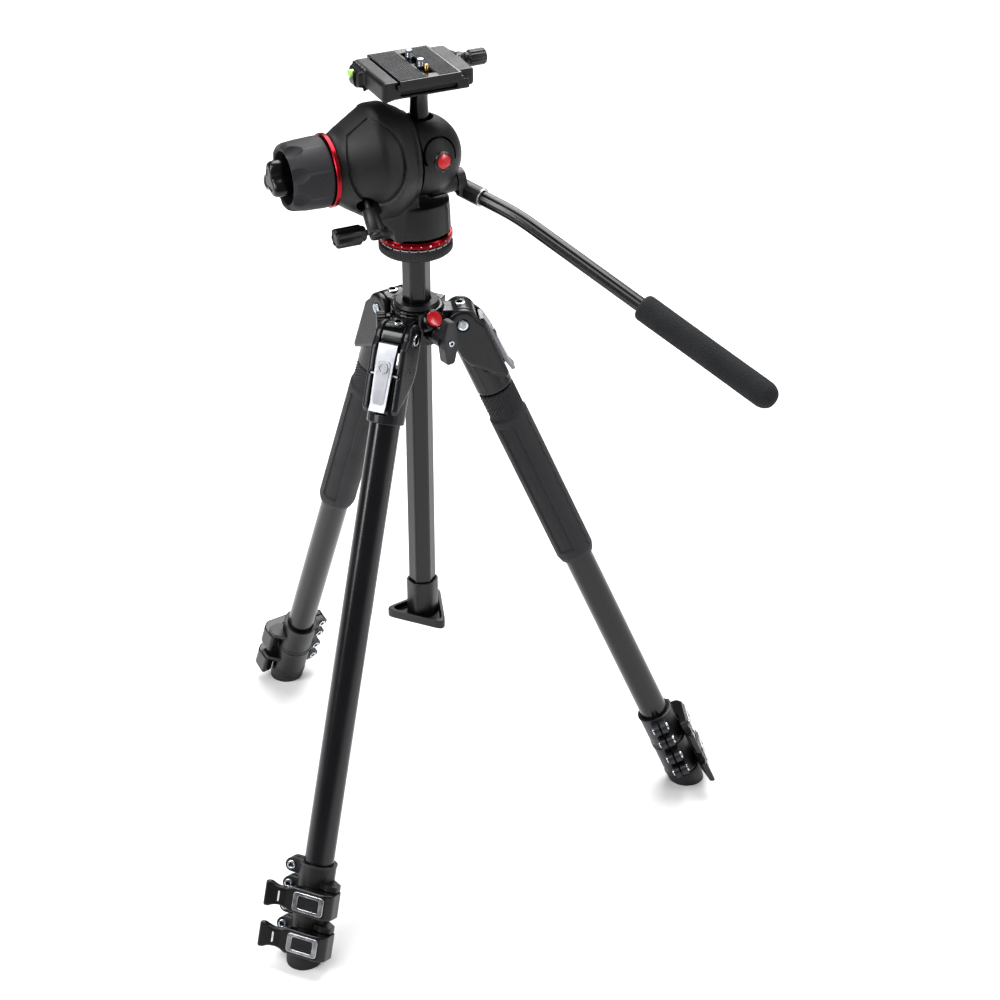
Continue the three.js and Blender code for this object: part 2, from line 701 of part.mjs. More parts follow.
// A point on the handle, at a length along it from the start of its sleeve.
function handlePoint(length) {
  const slopeTo = (slope) =>
    new THREE.Vector3(
      HANDLE_OUT.x * Math.cos(radians(slope)),
      HANDLE_OUT.y * Math.cos(radians(slope)),
      -Math.sin(radians(slope)),
    );
  const start = new THREE.Vector3(ROSETTE.outer + 0.6, -5, 37);
  const near = Math.min(length, HANDLE.toBend);
  const far = Math.max(0, length - HANDLE.toBend);
  return start.addScaledVector(slopeTo(12), near).addScaledVector(slopeTo(22), far);
}

// Places a geometry that stands on the origin along +Z at a length along the handle.
function onHandle(geometry, from) {
  const start = handlePoint(from);
  const heading = handlePoint(from + 1).sub(start).normalize();
  const turn = new THREE.Quaternion().setFromUnitVectors(new THREE.Vector3(0, 0, 1), heading);
  return solid(geometry.applyQuaternion(turn).translate(start.x, start.y, start.z));
}

// A round bar between two lengths along one straight stretch of the handle.
function handleRod(radius, from, to) {
  const geometry = new THREE.CylinderGeometry(radius, radius, to - from, 20);
  return onHandle(geometry.rotateX(Math.PI / 2).translate(0, 0, (to - from) / 2), from);
}

function handleSocket() {
  const rosette = rod(ROSETTE.radius, ROSETTE.inner, ROSETTE.outer, {
    axis: "x",
    at: [0, ROSETTE.y, ROSETTE.z],
    facets: 24,
  });
  const sleeve = handleRod(HANDLE.sleeve, 0, HANDLE.sleeveLength);
  const web = block([ROSETTE.inner + 1.5, -14, 34], [ROSETTE.outer + 2, -2, 44]);
  const bore = handleRod(HANDLE.radius + GAP, 4, HANDLE.sleeveLength + 8);
  return cut(join(rosette, web, sleeve), bore);
}

function handleBar() {
  const gripStart = HANDLE.toBend + HANDLE.toGrip;
  const elbow = new THREE.SphereGeometry(HANDLE.radius, 20, 10);
  const bend = handlePoint(HANDLE.toBend);
  return join(
    handleRod(HANDLE.radius, 5, HANDLE.toBend),
    solid(elbow.translate(bend.x, bend.y, bend.z)),
    handleRod(HANDLE.radius, HANDLE.toBend, gripStart + 60),
  );
}

function handleGrip() {
  const start = HANDLE.toBend + HANDLE.toGrip;
  const { grip } = HANDLE;
  const body = turned(
    [
      [0, 0],
      [8.5, 0],
      [11, 3],
      [11, grip - 9],
      [8.6, grip - 3],
      [4.5, grip],
      [0, grip],
    ],
    24,
  );
  return onHandle(body, start).subtract(handleRod(HANDLE.radius + GAP, start - 1, start + 61));
}

function headGroup() {
  const group = new THREE.Group();
  group.add(
    mesh("head_base_ring", headBaseRing(), FINISHES.redAnodised),
    mesh("head_housing", headHousing(), FINISHES.castBlack),
    mesh("red_ring", redRing(), FINISHES.redAnodised),
    mesh("friction_ring", frictionRing(), FINISHES.gripRubber),
    mesh("star_knob", starKnob(), FINISHES.moulded),
    mesh("pan_lock_knob", panLockKnob(), FINISHES.moulded),
    mesh("drag_knob", dragKnob(), FINISHES.moulded),
    mesh("tilt_dome", tiltDome(), FINISHES.castBlack),
    mesh("ball_stem", ballStem(), FINISHES.anodised),
    mesh("quick_release_base", quickReleaseBase(), FINISHES.castBlack),
    mesh("quick_release_plate", slidingPlate(), FINISHES.castBlack),
    mesh("quick_release_knob", quickReleaseKnob(), FINISHES.moulded),
    mesh("camera_screw", cameraScrew(), FINISHES.steel),
    mesh("handle_socket", handleSocket(), FINISHES.moulded),
    mesh("handle_bar", handleBar(), FINISHES.anodised),
    mesh("handle_grip", handleGrip(), FINISHES.foam),
  );
  group.position.z = HEAD_HEIGHT;
  group.rotation.z = radians(HEAD_TURN);
  return group;
}

function spiderGroup() {
  const group = new THREE.Group();
  const knob = new THREE.Group();
  knob.add(mesh("column_lock_knob", columnLockKnob(), FINISHES.moulded));
  knob.position.z = KNOB.height;
  knob.rotation.z = radians(GAP_TURNS.knob);
  group.add(
    mesh("spider_casting", spiderCasting(), FINISHES.castBlack),
    mesh("column_bush", columnBush(), FINISHES.moulded),
    mesh("accessory_plug", accessoryPlug(), FINISHES.moulded),
    knob,
  );
  group.position.z = HINGE_HEIGHT;
  return group;
}

// Moves the assembly so that the origin is under the middle of its box, on the floor.
function centred(assembly) {
  const box = new THREE.Box3().setFromObject(assembly, true);
  const middle = box.getCenter(new THREE.Vector3());
  assembly.position.set(-middle.x, -middle.y, -box.min.z);
  return assembly;
}

const tripod = new THREE.Group();
tripod.add(spiderGroup(), columnGroup(), headGroup());
tripod.add(...Object.keys(LEG_TURNS).map(legGroup));

export default centred(tripod);
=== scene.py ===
"""Looks of a camera tripod with a pan and tilt head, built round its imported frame."""

import json
import logging
import math
from dataclasses import dataclass, field
from enum import Enum
from typing import Any, Callable, Iterable, Sequence

import bmesh
import bpy
from mathutils import Matrix, Vector


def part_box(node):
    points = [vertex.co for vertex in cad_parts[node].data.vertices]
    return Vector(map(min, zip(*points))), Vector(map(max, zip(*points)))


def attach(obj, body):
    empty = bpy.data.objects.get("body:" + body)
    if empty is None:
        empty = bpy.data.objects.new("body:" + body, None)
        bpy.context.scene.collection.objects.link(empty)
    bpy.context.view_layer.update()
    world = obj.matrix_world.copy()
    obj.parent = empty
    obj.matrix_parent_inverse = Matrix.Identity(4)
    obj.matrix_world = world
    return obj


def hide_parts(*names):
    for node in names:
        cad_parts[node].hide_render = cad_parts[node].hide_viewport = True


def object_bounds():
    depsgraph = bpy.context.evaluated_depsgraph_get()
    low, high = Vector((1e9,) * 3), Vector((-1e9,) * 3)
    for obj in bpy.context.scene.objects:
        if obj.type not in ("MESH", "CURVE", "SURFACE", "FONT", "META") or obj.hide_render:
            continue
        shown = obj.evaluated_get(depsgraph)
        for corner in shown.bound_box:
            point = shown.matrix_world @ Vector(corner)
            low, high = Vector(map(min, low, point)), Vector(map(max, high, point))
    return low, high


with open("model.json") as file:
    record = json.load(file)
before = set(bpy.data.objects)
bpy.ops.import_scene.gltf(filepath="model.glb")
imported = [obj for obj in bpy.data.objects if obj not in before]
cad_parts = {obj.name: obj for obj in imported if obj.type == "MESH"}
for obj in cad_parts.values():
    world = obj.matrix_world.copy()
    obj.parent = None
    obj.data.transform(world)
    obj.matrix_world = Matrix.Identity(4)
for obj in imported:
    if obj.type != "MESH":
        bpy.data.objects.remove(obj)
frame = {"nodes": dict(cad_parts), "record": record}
CAD_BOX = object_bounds()
LOG = logging.getLogger("tripod")
MM = 0.001
TURN = 2 * math.pi
# The colour mix node's sockets, by place, because several share a name.
MIX_FACTOR, MIX_LOW, MIX_HIGH, MIX_RESULT = 0, 6, 7, 2
# How sharp an edge must be for its lighter tint, from rubbing and partly a painted highlight, to
# start and to be full, as pointiness, and how far it goes.
EDGE_WEAR_AND_HIGHLIGHT_SPAN = (0.53, 0.62)
EDGE_WEAR_AND_HIGHLIGHT_LIMIT = (0.0, 0.8)


class Side(Enum):
    """The three legs, each with its direction seen from above, in degrees."""

    FRONT = -90.0
    RIGHT = 30.0
    LEFT = 150.0

    @property
    def word(self) -> str:
        """The side as the frame's names spell it."""
        return self.name.lower()


class Carve(Enum):
    """What one solid does to another."""

    JOIN = "UNION"
    CUT = "DIFFERENCE"


class Along(Enum):
    """Turns that take +Z to another direction."""

    UP = (0.0, 0.0)
    DOWN = (180.0, 0.0)
    OUT = (0.0, 90.0)
    IN = (0.0, -90.0)
    LEFTWARD = (-90.0, 0.0)
    RIGHTWARD = (90.0, 0.0)

    def matrix(self) -> Matrix:
        """The turn as a matrix."""
        about_x, about_y = self.value
        turn_x = Matrix.Rotation(math.radians(about_x), 4, "X")
        return turn_x @ Matrix.Rotation(math.radians(about_y), 4, "Y")


# ---- Small tools -------------------------------------------------------------------------------


def linear(hex_colour: str) -> tuple[float, float, float, float]:
    """Turns an sRGB colour into the renderer's linear one.

    Args:
        hex_colour: Six hexadecimal digits, such as "1b1b1f".

    Returns:
        Linear red, green and blue, with an alpha of one.
    """
    channels = [int(hex_colour[i : i + 2], 16) / 255 for i in (0, 2, 4)]
    low = 0.04045
    toned = [c / 12.92 if c <= low else ((c + 0.055) / 1.055) ** 2.4 for c in channels]
    return (*toned, 1.0)


def add_node(
    tree: bpy.types.NodeTree,
    kind: str,
    settings: dict[str, Any] | None = None,
    links: dict[str, bpy.types.NodeSocket] | None = None,
) -> bpy.types.Node:
    """Adds a node to a tree, sets it up and links its inputs.

    Args:
        tree: The tree that gets the node.
        kind: The node's type, such as "ShaderNodeTexNoise".
        settings: Values for its inputs by name, or for its own properties.
        links: Sockets that feed its inputs, by name.

    Returns:
        The node.
    """
    node = tree.nodes.new(kind)
    for name, value in (settings or {}).items():
        if name in node.inputs:
            node.inputs[name].default_value = value
        else:
            setattr(node, name, value)
    for name, socket in (links or {}).items():
        tree.links.new(socket, node.inputs[name])
    return node


def mixed(
    tree: bpy.types.NodeTree,
    factor: bpy.types.NodeSocket,
    low: str,
    high: str,
) -> bpy.types.NodeSocket:
    """Runs a factor through a two-colour ramp.

    Args:
        tree: The material's tree.
        factor: The socket that holds the factor.
        low: The colour at zero, as hex.
        high: The colour at one, as hex.

    Returns:
        The colour socket.
    """
    ramp = add_node(tree, "ShaderNodeValToRGB", links={"Fac": factor})
    ramp.color_ramp.elements[0].color = linear(low)
    ramp.color_ramp.elements[1].color = linear(high)
    return ramp.outputs["Color"]


def ranged(
    tree: bpy.types.NodeTree,
    value: bpy.types.NodeSocket,
    span: tuple[float, float],
    source: tuple[float, float] = (0.0, 1.0),
) -> bpy.types.NodeSocket:
    """Maps a value from one span onto another.

    Args:
        tree: The material's tree.
        value: The socket to map.
        span: Lowest and highest result.
        source: The values that give them.

    Returns:
        The mapped socket.
    """
    settings = {
        "From Min": source[0],
        "From Max": source[1],
        "To Min": span[0],
        "To Max": span[1],
    }
    node = add_node(tree, "ShaderNodeMapRange", settings, {"Value": value})
    return node.outputs["Result"]


def per_millimetre(size_mm: float) -> float:
    """The texture scale that gives features of a size in millimetres, on metre coordinates."""
    return 1 / (size_mm * MM)


# ---- Finishes ----------------------------------------------------------------------------------


@dataclass(frozen=True)
class Finish:
    """A surface with a broad tint, a fine grain, uneven gloss and lighter edges, from rubbing and
    partly a painted highlight.

    Attributes:
        name: The material's name.
        colour: Its darker tint, as hex.
        tint: Its lighter tint, as hex.
        worn: The tint of sharp edges, as hex, from rubbing and partly a painted highlight.
        roughness: Lowest and highest roughness.
        metallic: 1 for a bare metal, 0 otherwise.
        ior: Index of refraction.
        grain_mm: Size of the fine grain.
        grain_depth: How strongly the grain stands out, from 0 to 1.
        cloud_mm: Size of the broad tint's patches.
        coat: Strength of a clear coat.
    """

    name: str
    colour: str
    tint: str
    worn: str
    roughness: tuple[float, float] = (0.4, 0.55)
    metallic: float = 0.0
    ior: float = 1.5
    grain_mm: float = 0.4
    grain_depth: float = 0.15
    cloud_mm: float = 22.0
    coat: float = 0.0

    def grain(self, tree: bpy.types.NodeTree, place: bpy.types.NodeSocket) -> bpy.types.NodeSocket:
        """The height of the fine grain.

        Args:
            tree: The material's tree.
            place: Coordinates on the piece.

        Returns:
            The height socket, from 0 to 1.
        """
        settings = {"Scale": per_millimetre(self.grain_mm), "Detail": 2.0, "Roughness": 0.6}
        return add_node(tree, "ShaderNodeTexNoise", settings, {"Vector": place}).outputs["Fac"]

    def material(self) -> bpy.types.Material:
        """The finish as a material, made once and then reused.

        Returns:
            The material.
        """
        made = bpy.data.materials.get(self.name)
        if made:
            return made
        made = bpy.data.materials.new(self.name)
        made.use_nodes = True
        tree = made.node_tree
        shader = tree.nodes["Principled BSDF"]
        place = add_node(tree, "ShaderNodeTexCoord").outputs["Object"]
        cloud_settings = {"Scale": per_millimetre(self.cloud_mm), "Detail": 5.0}
        cloud = add_node(tree, "ShaderNodeTexNoise", cloud_settings, {"Vector": place})
        broad = ranged(tree, cloud.outputs["Fac"], (0.0, 1.0), (0.35, 0.65))
        base = mixed(tree, broad, self.colour, self.tint)
        # Sharp edges get the lighter edge tint: partly rubbing, partly a painted highlight.
        edge = add_node(tree, "ShaderNodeNewGeometry").outputs["Pointiness"]
        wear_and_highlight_mask = ranged(tree, edge, EDGE_WEAR_AND_HIGHLIGHT_LIMIT, EDGE_WEAR_AND_HIGHLIGHT_SPAN)
        wear_and_highlight_mix = add_node(tree, "ShaderNodeMix", {"data_type": "RGBA"})
        tree.links.new(wear_and_highlight_mask, wear_and_highlight_mix.inputs[MIX_FACTOR])
        tree.links.new(base, wear_and_highlight_mix.inputs[MIX_LOW])
        wear_and_highlight_mix.inputs[MIX_HIGH].default_value = linear(self.worn)
        tree.links.new(wear_and_highlight_mix.outputs[MIX_RESULT], shader.inputs["Base Color"])
        rough = ranged(tree, cloud.outputs["Fac"], self.roughness, (0.3, 0.7))
        tree.links.new(rough, shader.inputs["Roughness"])
        shader.inputs["Metallic"].default_value = self.metallic
        shader.inputs["IOR"].default_value = self.ior
        shader.inputs["Coat Weight"].default_value = self.coat
        height = self.grain(tree, place)
        settings = {"Strength": self.grain_depth, "Distance": self.grain_mm * MM}
        bump = add_node(tree, "ShaderNodeBump", settings, {"Height": height})
        tree.links.new(bump.outputs["Normal"], shader.inputs["Normal"])
        made.diffuse_color = linear(self.colour)
        return made


@dataclass(frozen=True)
class BrushedFinish(Finish):
    """A metal brushed in one direction, so that its grain is drawn out into long scratches.

    Attributes:
        stretch: How much finer the grain is along each axis.
    """

    stretch: tuple[float, float, float] = (1.0, 1.0, 0.03)

    def grain(self, tree: bpy.types.NodeTree, place: bpy.types.NodeSocket) -> bpy.types.NodeSocket:
        """Long scratches, from a noise that is stretched along the brushing.

        Args:
            tree: The material's tree.
            place: Coordinates on the piece.

        Returns:
            The height socket.
        """
        mapping = add_node(tree, "ShaderNodeMapping", {"Scale": self.stretch}, {"Vector": place})
        settings = {"Scale": per_millimetre(self.grain_mm), "Detail": 3.0}
        links = {"Vector": mapping.outputs["Vector"]}
        return add_node(tree, "ShaderNodeTexNoise", settings, links).outputs["Fac"]


@dataclass(frozen=True)
class CelledFinish(Finish):
    """A moulded surface of small cells, such as closed-cell foam or a pebbled rubber."""

    def grain(self, tree: bpy.types.NodeTree, place: bpy.types.NodeSocket) -> bpy.types.NodeSocket:
        """Round cells with sunk borders.

        Args:
            tree: The material's tree.
            place: Coordinates on the piece.

        Returns:
            The height socket.
        """
        settings = {"Scale": per_millimetre(self.grain_mm), "feature": "F1"}
        cells = add_node(tree, "ShaderNodeTexVoronoi", settings, {"Vector": place})
        return ranged(tree, cells.outputs["Distance"], (1.0, 0.0), (0.0, 0.8))


# Black anodised aluminium, extruded and bead blasted: a deep satin with a cool, narrow highlight.
TUBE = Finish(
    "anodised_aluminium_black",
    colour="060608",
    tint="0b0b0e",
    worn="1c1c22",
    roughness=(0.18, 0.25),
    grain_mm=0.25,
    grain_depth=0.03,
    cloud_mm=60.0,
)
# Magnesium casting under dark grey powder: a dull satin; its pale grey edges are a painted
# highlight along the bevels, with some rubbing.
CASTING = Finish(
    "magnesium_casting_grey",
    colour="101013",
    tint="17171b",
    worn="606168",
    roughness=(0.24, 0.34),
    grain_mm=0.35,
    grain_depth=0.1,
    cloud_mm=25.0,
)
# The head's casting under black powder, finely pebbled, so that its highlights break up.
HOUSING = Finish(
    "magnesium_casting_black",
    colour="0d0d0f",
    tint="151517",
    worn="2c2c2f",
    roughness=(0.42, 0.54),
    ior=1.48,
    grain_mm=0.5,
    grain_depth=0.3,
    cloud_mm=30.0,
)
# Glass-filled polyamide, spark-eroded mould: low gloss with a fine even grain.
MOULDED = Finish(
    "polyamide_moulded_black",
    colour="0c0c0e",
    tint="131315",
    worn="303034",
    roughness=(0.34, 0.46),
    grain_mm=0.3,
    grain_depth=0.14,
    cloud_mm=18.0,
)
# Injection moulded polyamide from a polished mould: the knuckles' and levers' glossy black.
GLOSS = Finish(
    "polyamide_polished_black",
    colour="070709",
    tint="0d0d10",
    worn="2a2a30",
    roughness=(0.16, 0.26),
    grain_mm=0.5,
    grain_depth=0.05,
    cloud_mm=18.0,
)
# Moulded rubber with a pebbled skin: soft and matt, greyer than the plastic beside it.
RUBBER = CelledFinish(
    "rubber_moulded_dark",
    colour="1a1a1d",
    tint="232327",
    worn="34343a",
    roughness=(0.55, 0.7),
    grain_mm=0.7,
    grain_depth=0.3,
    cloud_mm=20.0,
)
# Smooth rubber of feet and rims, a little dusty.
SOLE = Finish(
    "rubber_smooth_black",
    colour="101012",
    tint="1b1b1e",
    worn="303034",
    roughness=(0.46, 0.62),
    grain_mm=0.8,
    grain_depth=0.18,
    cloud_mm=14.0,
)
# Closed-cell foam sleeve: its cells are drawn at 1 mm, so that they show.
FOAM = CelledFinish(
    "foam_closed_cell",
    colour="1c1d1f",
    tint="28292c",
    worn="36373b",
    roughness=(0.8, 0.92),
    ior=1.45,
    grain_mm=1.0,
    grain_depth=0.6,
    cloud_mm=16.0,
)
# Bare aluminium brushed along the lever: pale, with fine streaks.
BRUSHED = BrushedFinish(
    "aluminium_brushed",
    colour="6f7074",
    tint="85868a",
    worn="b4b5b8",
    roughness=(0.26, 0.38),
    metallic=1.0,
    grain_mm=0.5,
    grain_depth=0.14,
    cloud_mm=18.0,
)
# Red anodised aluminium, turned: dyed metal with a bright ring where the light falls.
RED = BrushedFinish(
    "anodised_aluminium_red",
    colour="660811",
    tint="86101c",
    worn="b93a45",
    roughness=(0.2, 0.3),
    metallic=1.0,
    grain_mm=0.4,
    grain_depth=0.08,
    cloud_mm=20.0,
)
# Zinc-plated steel screws: bright and slightly blue.
STEEL = Finish(
    "steel_zinc_plated",
    colour="aab2ba",
    tint="c9d0d6",
    worn="e8ecef",
    roughness=(0.16, 0.28),
    metallic=1.0,
    grain_mm=0.3,
    grain_depth=0.06,
    cloud_mm=6.0,
)
# Nickel-plated trim round the levers' windows: a bright, nearly mirror-like edge.
NICKEL = Finish(
    "nickel_plated_trim",
    colour="a9abb0",
    tint="c6c7ca",
    worn="ececee",
    roughness=(0.08, 0.16),
    metallic=1.0,
    grain_mm=0.5,
    grain_depth=0.03,
    cloud_mm=8.0,
)
# Turned brass of the anti-twist pin: a warm, bright yellow.
BRASS = Finish(
    "brass_turned",
    colour="b8863a",
    tint="cf9d4c",
    worn="e7c47c",
    roughness=(0.2, 0.3),
    metallic=1.0,
    grain_mm=0.3,
    grain_depth=0.06,
    cloud_mm=6.0,
)
# Red enamelled badge under a clear dome: saturated and glossy.
ENAMEL = Finish(
    "enamel_red",
    colour="b40a16",
    tint="c8121e",
    worn="d8323c",
    roughness=(0.16, 0.24),
    grain_mm=0.6,
    grain_depth=0.02,
    cloud_mm=12.0,
    coat=0.5,
)
# White ink on the levers' bars and the base ring's dots: flat and slightly warm.
LABEL = Finish(
    "ink_white",
    colour="b8b8b5",
    tint="d0d0cd",
    worn="ecece9",
    roughness=(0.45, 0.6),
    grain_mm=0.3,
    grain_depth=0.05,
    cloud_mm=6.0,
)
# Green spirit in an acrylic vial: a bright, glossy green.
SPIRIT = Finish(
    "acrylic_vial_green",
    colour="7ec62e",
    tint="a9e650",
    worn="d6f5a0",
    roughness=(0.06, 0.1),
    ior=1.49,
    grain_mm=0.8,
    grain_depth=0.02,
    cloud_mm=5.0,
    coat=1.0,
)


# ---- Sections and workpieces -------------------------------------------------------------------


@dataclass(frozen=True)
class Section:
    """A closed outline round a middle, in millimetres.

    Attributes:
        wide: Half its width along x.
        deep: Half its width along y, or None for the same.
        power: 2 for an ellipse, more for a rounded box.
        lobes: How many hollows go round it.
        hollow: How deep they are.
        sharp: How narrow the hollows are: 1 for a wave, more for grooves.
        shift: Where its middle lies, as x and y.
        flats: Number of flat sides of a polygon, or 0.
        corner: How far out its corners may reach.
    """

    wide: float
    deep: float | None = None
    power: float = 2.0
    lobes: int = 0
    hollow: float = 0.0
    sharp: float = 1.0
    shift: tuple[float, float] = (0.0, 0.0)
    flats: int = 0
    corner: float = 1e6

    def point(self, angle: float, height: float) -> Vector:
        """The outline's point in a direction.

        Args:
            angle: Direction from its middle, in radians.
            height: Its z.

        Returns:
            The point.
        """
        deep = self.wide if self.deep is None else self.deep
        if self.flats:
            step = TURN / self.flats
            offset = (angle + step / 2) % step - step / 2
            reach = min(self.wide / math.cos(offset), self.corner)
        else:
            across = abs(math.cos(angle) / self.wide) ** self.power
            reach = (across + abs(math.sin(angle) / deep) ** self.power) ** (-1 / self.power)
        if self.lobes:
            wave = 0.5 - 0.5 * math.cos(angle * self.lobes)
            reach -= self.hollow * wave**self.sharp
        x = self.shift[0] + reach * math.cos(angle)
        return Vector((x, self.shift[1] + reach * math.sin(angle), height))


class Workpiece:
    """A mesh in the making, in millimetres in a space of its own."""

    def __init__(self, space: Matrix) -> None:
        """Starts an empty mesh.

        Args:
            space: Takes the piece's millimetres to the frame's metres.
        """
        self.space = space
        self.mesh = bmesh.new()

    def place(self, verts: Iterable[bmesh.types.BMVert], matrix: Matrix) -> None:
        """Moves vertices by a matrix."""
        bmesh.ops.transform(self.mesh, matrix=matrix, verts=list(verts))

    def ring(self, section: Section, height: float, segments: int) -> list[bmesh.types.BMEdge]:
        """Adds one loop of edges.

        Args:
            section: Its outline.
            height: Its z.
            segments: How many edges it has.

        Returns:
            The loop's edges.
        """
        made = bmesh.ops.create_circle(self.mesh, cap_ends=False, radius=1.0, segments=segments)
        verts = made["verts"]
        for i, vert in enumerate(verts):
            vert.co = section.point(TURN * i / segments, height)
        return list({edge for vert in verts for edge in vert.link_edges})

    def lofted(
        self,
        stations: Sequence[tuple[float, Section]],
        segments: int = 96,
        matrix: Matrix | None = None,
        hollow: bool = False,
    ) -> "Workpiece":
        """Adds a closed skin over a row of sections.

        Args:
            stations: Each section with its height, from one end to the other.
            segments: How many points each section has.
            matrix: Where the skin goes, from its own z axis.
            hollow: True where the last section joins the first, as for a sleeve.

        Returns:
            This workpiece.
        """
        before = set(self.mesh.verts)
        loops = [self.ring(section, height, segments) for height, section in stations]
        follow = loops[1:] + ([loops[0]] if hollow else [])
        for low, high in zip(loops, follow):
            bmesh.ops.bridge_loops(self.mesh, edges=low + high)
        for loop in () if hollow else (loops[0], loops[-1]):
            bmesh.ops.edgeloop_fill(self.mesh, edges=loop)
        fresh = [vert for vert in self.mesh.verts if vert not in before]
        self.place(fresh, matrix or Matrix())
        return self

    def turned(
        self,
        profile: Sequence[tuple[float, float]],
        segments: int = 96,
        matrix: Matrix | None = None,
        closed: bool = False,
    ) -> "Workpiece":
        """Adds a profile of radius and height, spun about z.

        Args:
            profile: Its points, from end to end.
            segments: Steps of the spin.
            matrix: Where the turned piece goes, from its own z axis.
            closed: True where the profile joins its own start, as for a tube.

        Returns:
            This workpiece.
        """
        before = set(self.mesh.verts)
        points = [self.mesh.verts.new((radius, 0.0, height)) for radius, height in profile]
        pairs = list(zip(points, points[1:])) + ([(points[-1], points[0])] if closed else [])
        edges = [self.mesh.edges.new(pair) for pair in pairs]
        bmesh.ops.spin(
            self.mesh,
            geom=points + edges,
            cent=(0, 0, 0),
            axis=(0, 0, 1),
            dvec=(0, 0, 0),
            angle=TURN,
            steps=segments,
            use_merge=True,
            use_duplicate=False,
        )
        fresh = [vert for vert in self.mesh.verts if vert not in before]
        bmesh.ops.remove_doubles(self.mesh, verts=fresh, dist=1e-4)
        fresh = [vert for vert in self.mesh.verts if vert not in before]
        self.place(fresh, matrix or Matrix())
        return self

    def plate(
        self,
        outline: Sequence[tuple[float, float]],
        low: float,
        high: float,
        corner: float = 0.0,
        matrix: Matrix | None = None,
        corner_segments: int = 5,
    ) -> "Workpiece":
        """Adds an outline in the xy plane, drawn up along z, with its upright edges rounded.

        Args:
            outline: Its corners, in order.
            low: The z of its underside.
            high: The z of its top.
            corner: The radius of its upright edges.
            matrix: Where the plate goes.
            corner_segments: Steps round each upright edge.

        Returns:
            This workpiece.
        """
        before = set(self.mesh.verts)
        corners = [self.mesh.verts.new((x, y, low)) for x, y in outline]
        face = self.mesh.faces.new(corners)
        drawn = bmesh.ops.extrude_face_region(self.mesh, geom=[face])["geom"]
        raised = [item for item in drawn if isinstance(item, bmesh.types.BMVert)]
        bmesh.ops.translate(self.mesh, verts=raised, vec=(0, 0, high - low))
        fresh = [vert for vert in self.mesh.verts if vert not in before]
        if corner:
            upright = {
                edge
                for vert in fresh
                for edge in vert.link_edges
                if abs(edge.verts[0].co.z - edge.verts[1].co.z) > 1e-6
            }
            bmesh.ops.bevel(
                self.mesh,
                geom=list(upright),
                offset=corner,
                offset_type="OFFSET",
                segments=corner_segments,
                profile=0.5,
                affect="EDGES",
                material=-1,
                clamp_overlap=True,
            )
        fresh = [vert for vert in self.mesh.verts if vert not in before]
        self.place(fresh, matrix or Matrix())
        return self

    def copied(self, node: str, flat: float = 4.0) -> "Workpiece":
        """Adds a copy of a frame node's mesh, merged, with its flat faces made whole.

        Args:
            node: The node's name.
            flat: Faces that meet at less than this, in degrees, become one.

        Returns:
            This workpiece.
        """
        self.mesh.from_mesh(frame["nodes"][node].data)
        bmesh.ops.remove_doubles(self.mesh, verts=self.mesh.verts[:], dist=2e-6)
        bmesh.ops.dissolve_limit(
            self.mesh,
            angle_limit=math.radians(flat),
            verts=self.mesh.verts[:],
            edges=self.mesh.edges[:],
        )
        self.place(self.mesh.verts, self.space.inverted())
        return self

    def chamfered(self, chosen: Callable[[Vector], bool], offset: float) -> "Workpiece":
        """Takes off the edges whose ends both pass a test, before the piece is melted.

        Args:
            chosen: The test of a vertex's place.
            offset: The chamfer's width.

        Returns:
            This workpiece.
        """
        edges = [
            edge
            for edge in self.mesh.edges
            if all(chosen(vert.co) for vert in edge.verts) and edge.calc_face_angle(0) > 0.5
        ]
        bmesh.ops.bevel(
            self.mesh,
            geom=edges,
            offset=offset,
            offset_type="OFFSET",
            segments=2,
            profile=0.5,
            affect="EDGES",
            material=-1,
            clamp_overlap=False,
        )
        return self

    def solid(self, name: str) -> bpy.types.Object:
        """Closes the work and hands over its object, in the frame's metres.

        Args:
            name: The object's name.

        Returns:
            The object, at the origin.
        """
        self.place(self.mesh.verts, self.space)
        bmesh.ops.recalc_face_normals(self.mesh, faces=self.mesh.faces[:])
        data = bpy.data.meshes.new(name)
        self.mesh.to_mesh(data)
        self.mesh.free()
        made = bpy.data.objects.new(name, data)
        bpy.context.scene.collection.objects.link(made)
        return made


def combined(
    base: bpy.types.Object,
    others: Sequence[bpy.types.Object],
    how: Carve,
) -> bpy.types.Object:
    """Joins solids to a base, or cuts them out of it, and uses the others up.

    Args:
        base: The solid that stays.
        others: The solids that change it.
        how: What they do to it.

    Returns:
        The base, with a new mesh.
    """
    for other in others:
        change = base.modifiers.new(how.name.lower(), "BOOLEAN")
        change.operation = how.value
        change.solver = "EXACT"
        change.object = other
    settle(base)
    for other in others:
        bpy.data.objects.remove(other)
    return base


def settle(piece: bpy.types.Object) -> None:
    """Applies a piece's modifiers to its mesh."""
    graph = bpy.context.evaluated_depsgraph_get()
    graph.update()
    data = bpy.data.meshes.new_from_object(piece.evaluated_get(graph))
    piece.modifiers.clear()
    piece.data = data


def melted(piece: bpy.types.Object, voxel_mm: float, passes: int) -> None:
    """Turns joined solids into one skin with soft inner corners, as a casting has.

    Args:
        piece: The solid.
        voxel_mm: Size of the skin's faces.
        passes: How often the skin is smoothed.
    """
    change = piece.modifiers.new("skin", "REMESH")
    change.mode = "VOXEL"
    change.voxel_size = voxel_mm * MM
    settle(piece)
    mesh = bmesh.new()
    mesh.from_mesh(piece.data)
    for _ in range(passes):
        bmesh.ops.smooth_vert(
            mesh,
            verts=mesh.verts[:],
            factor=0.5,
            use_axis_x=True,
            use_axis_y=True,
            use_axis_z=True,
        )
    mesh.to_mesh(piece.data)
    mesh.free()


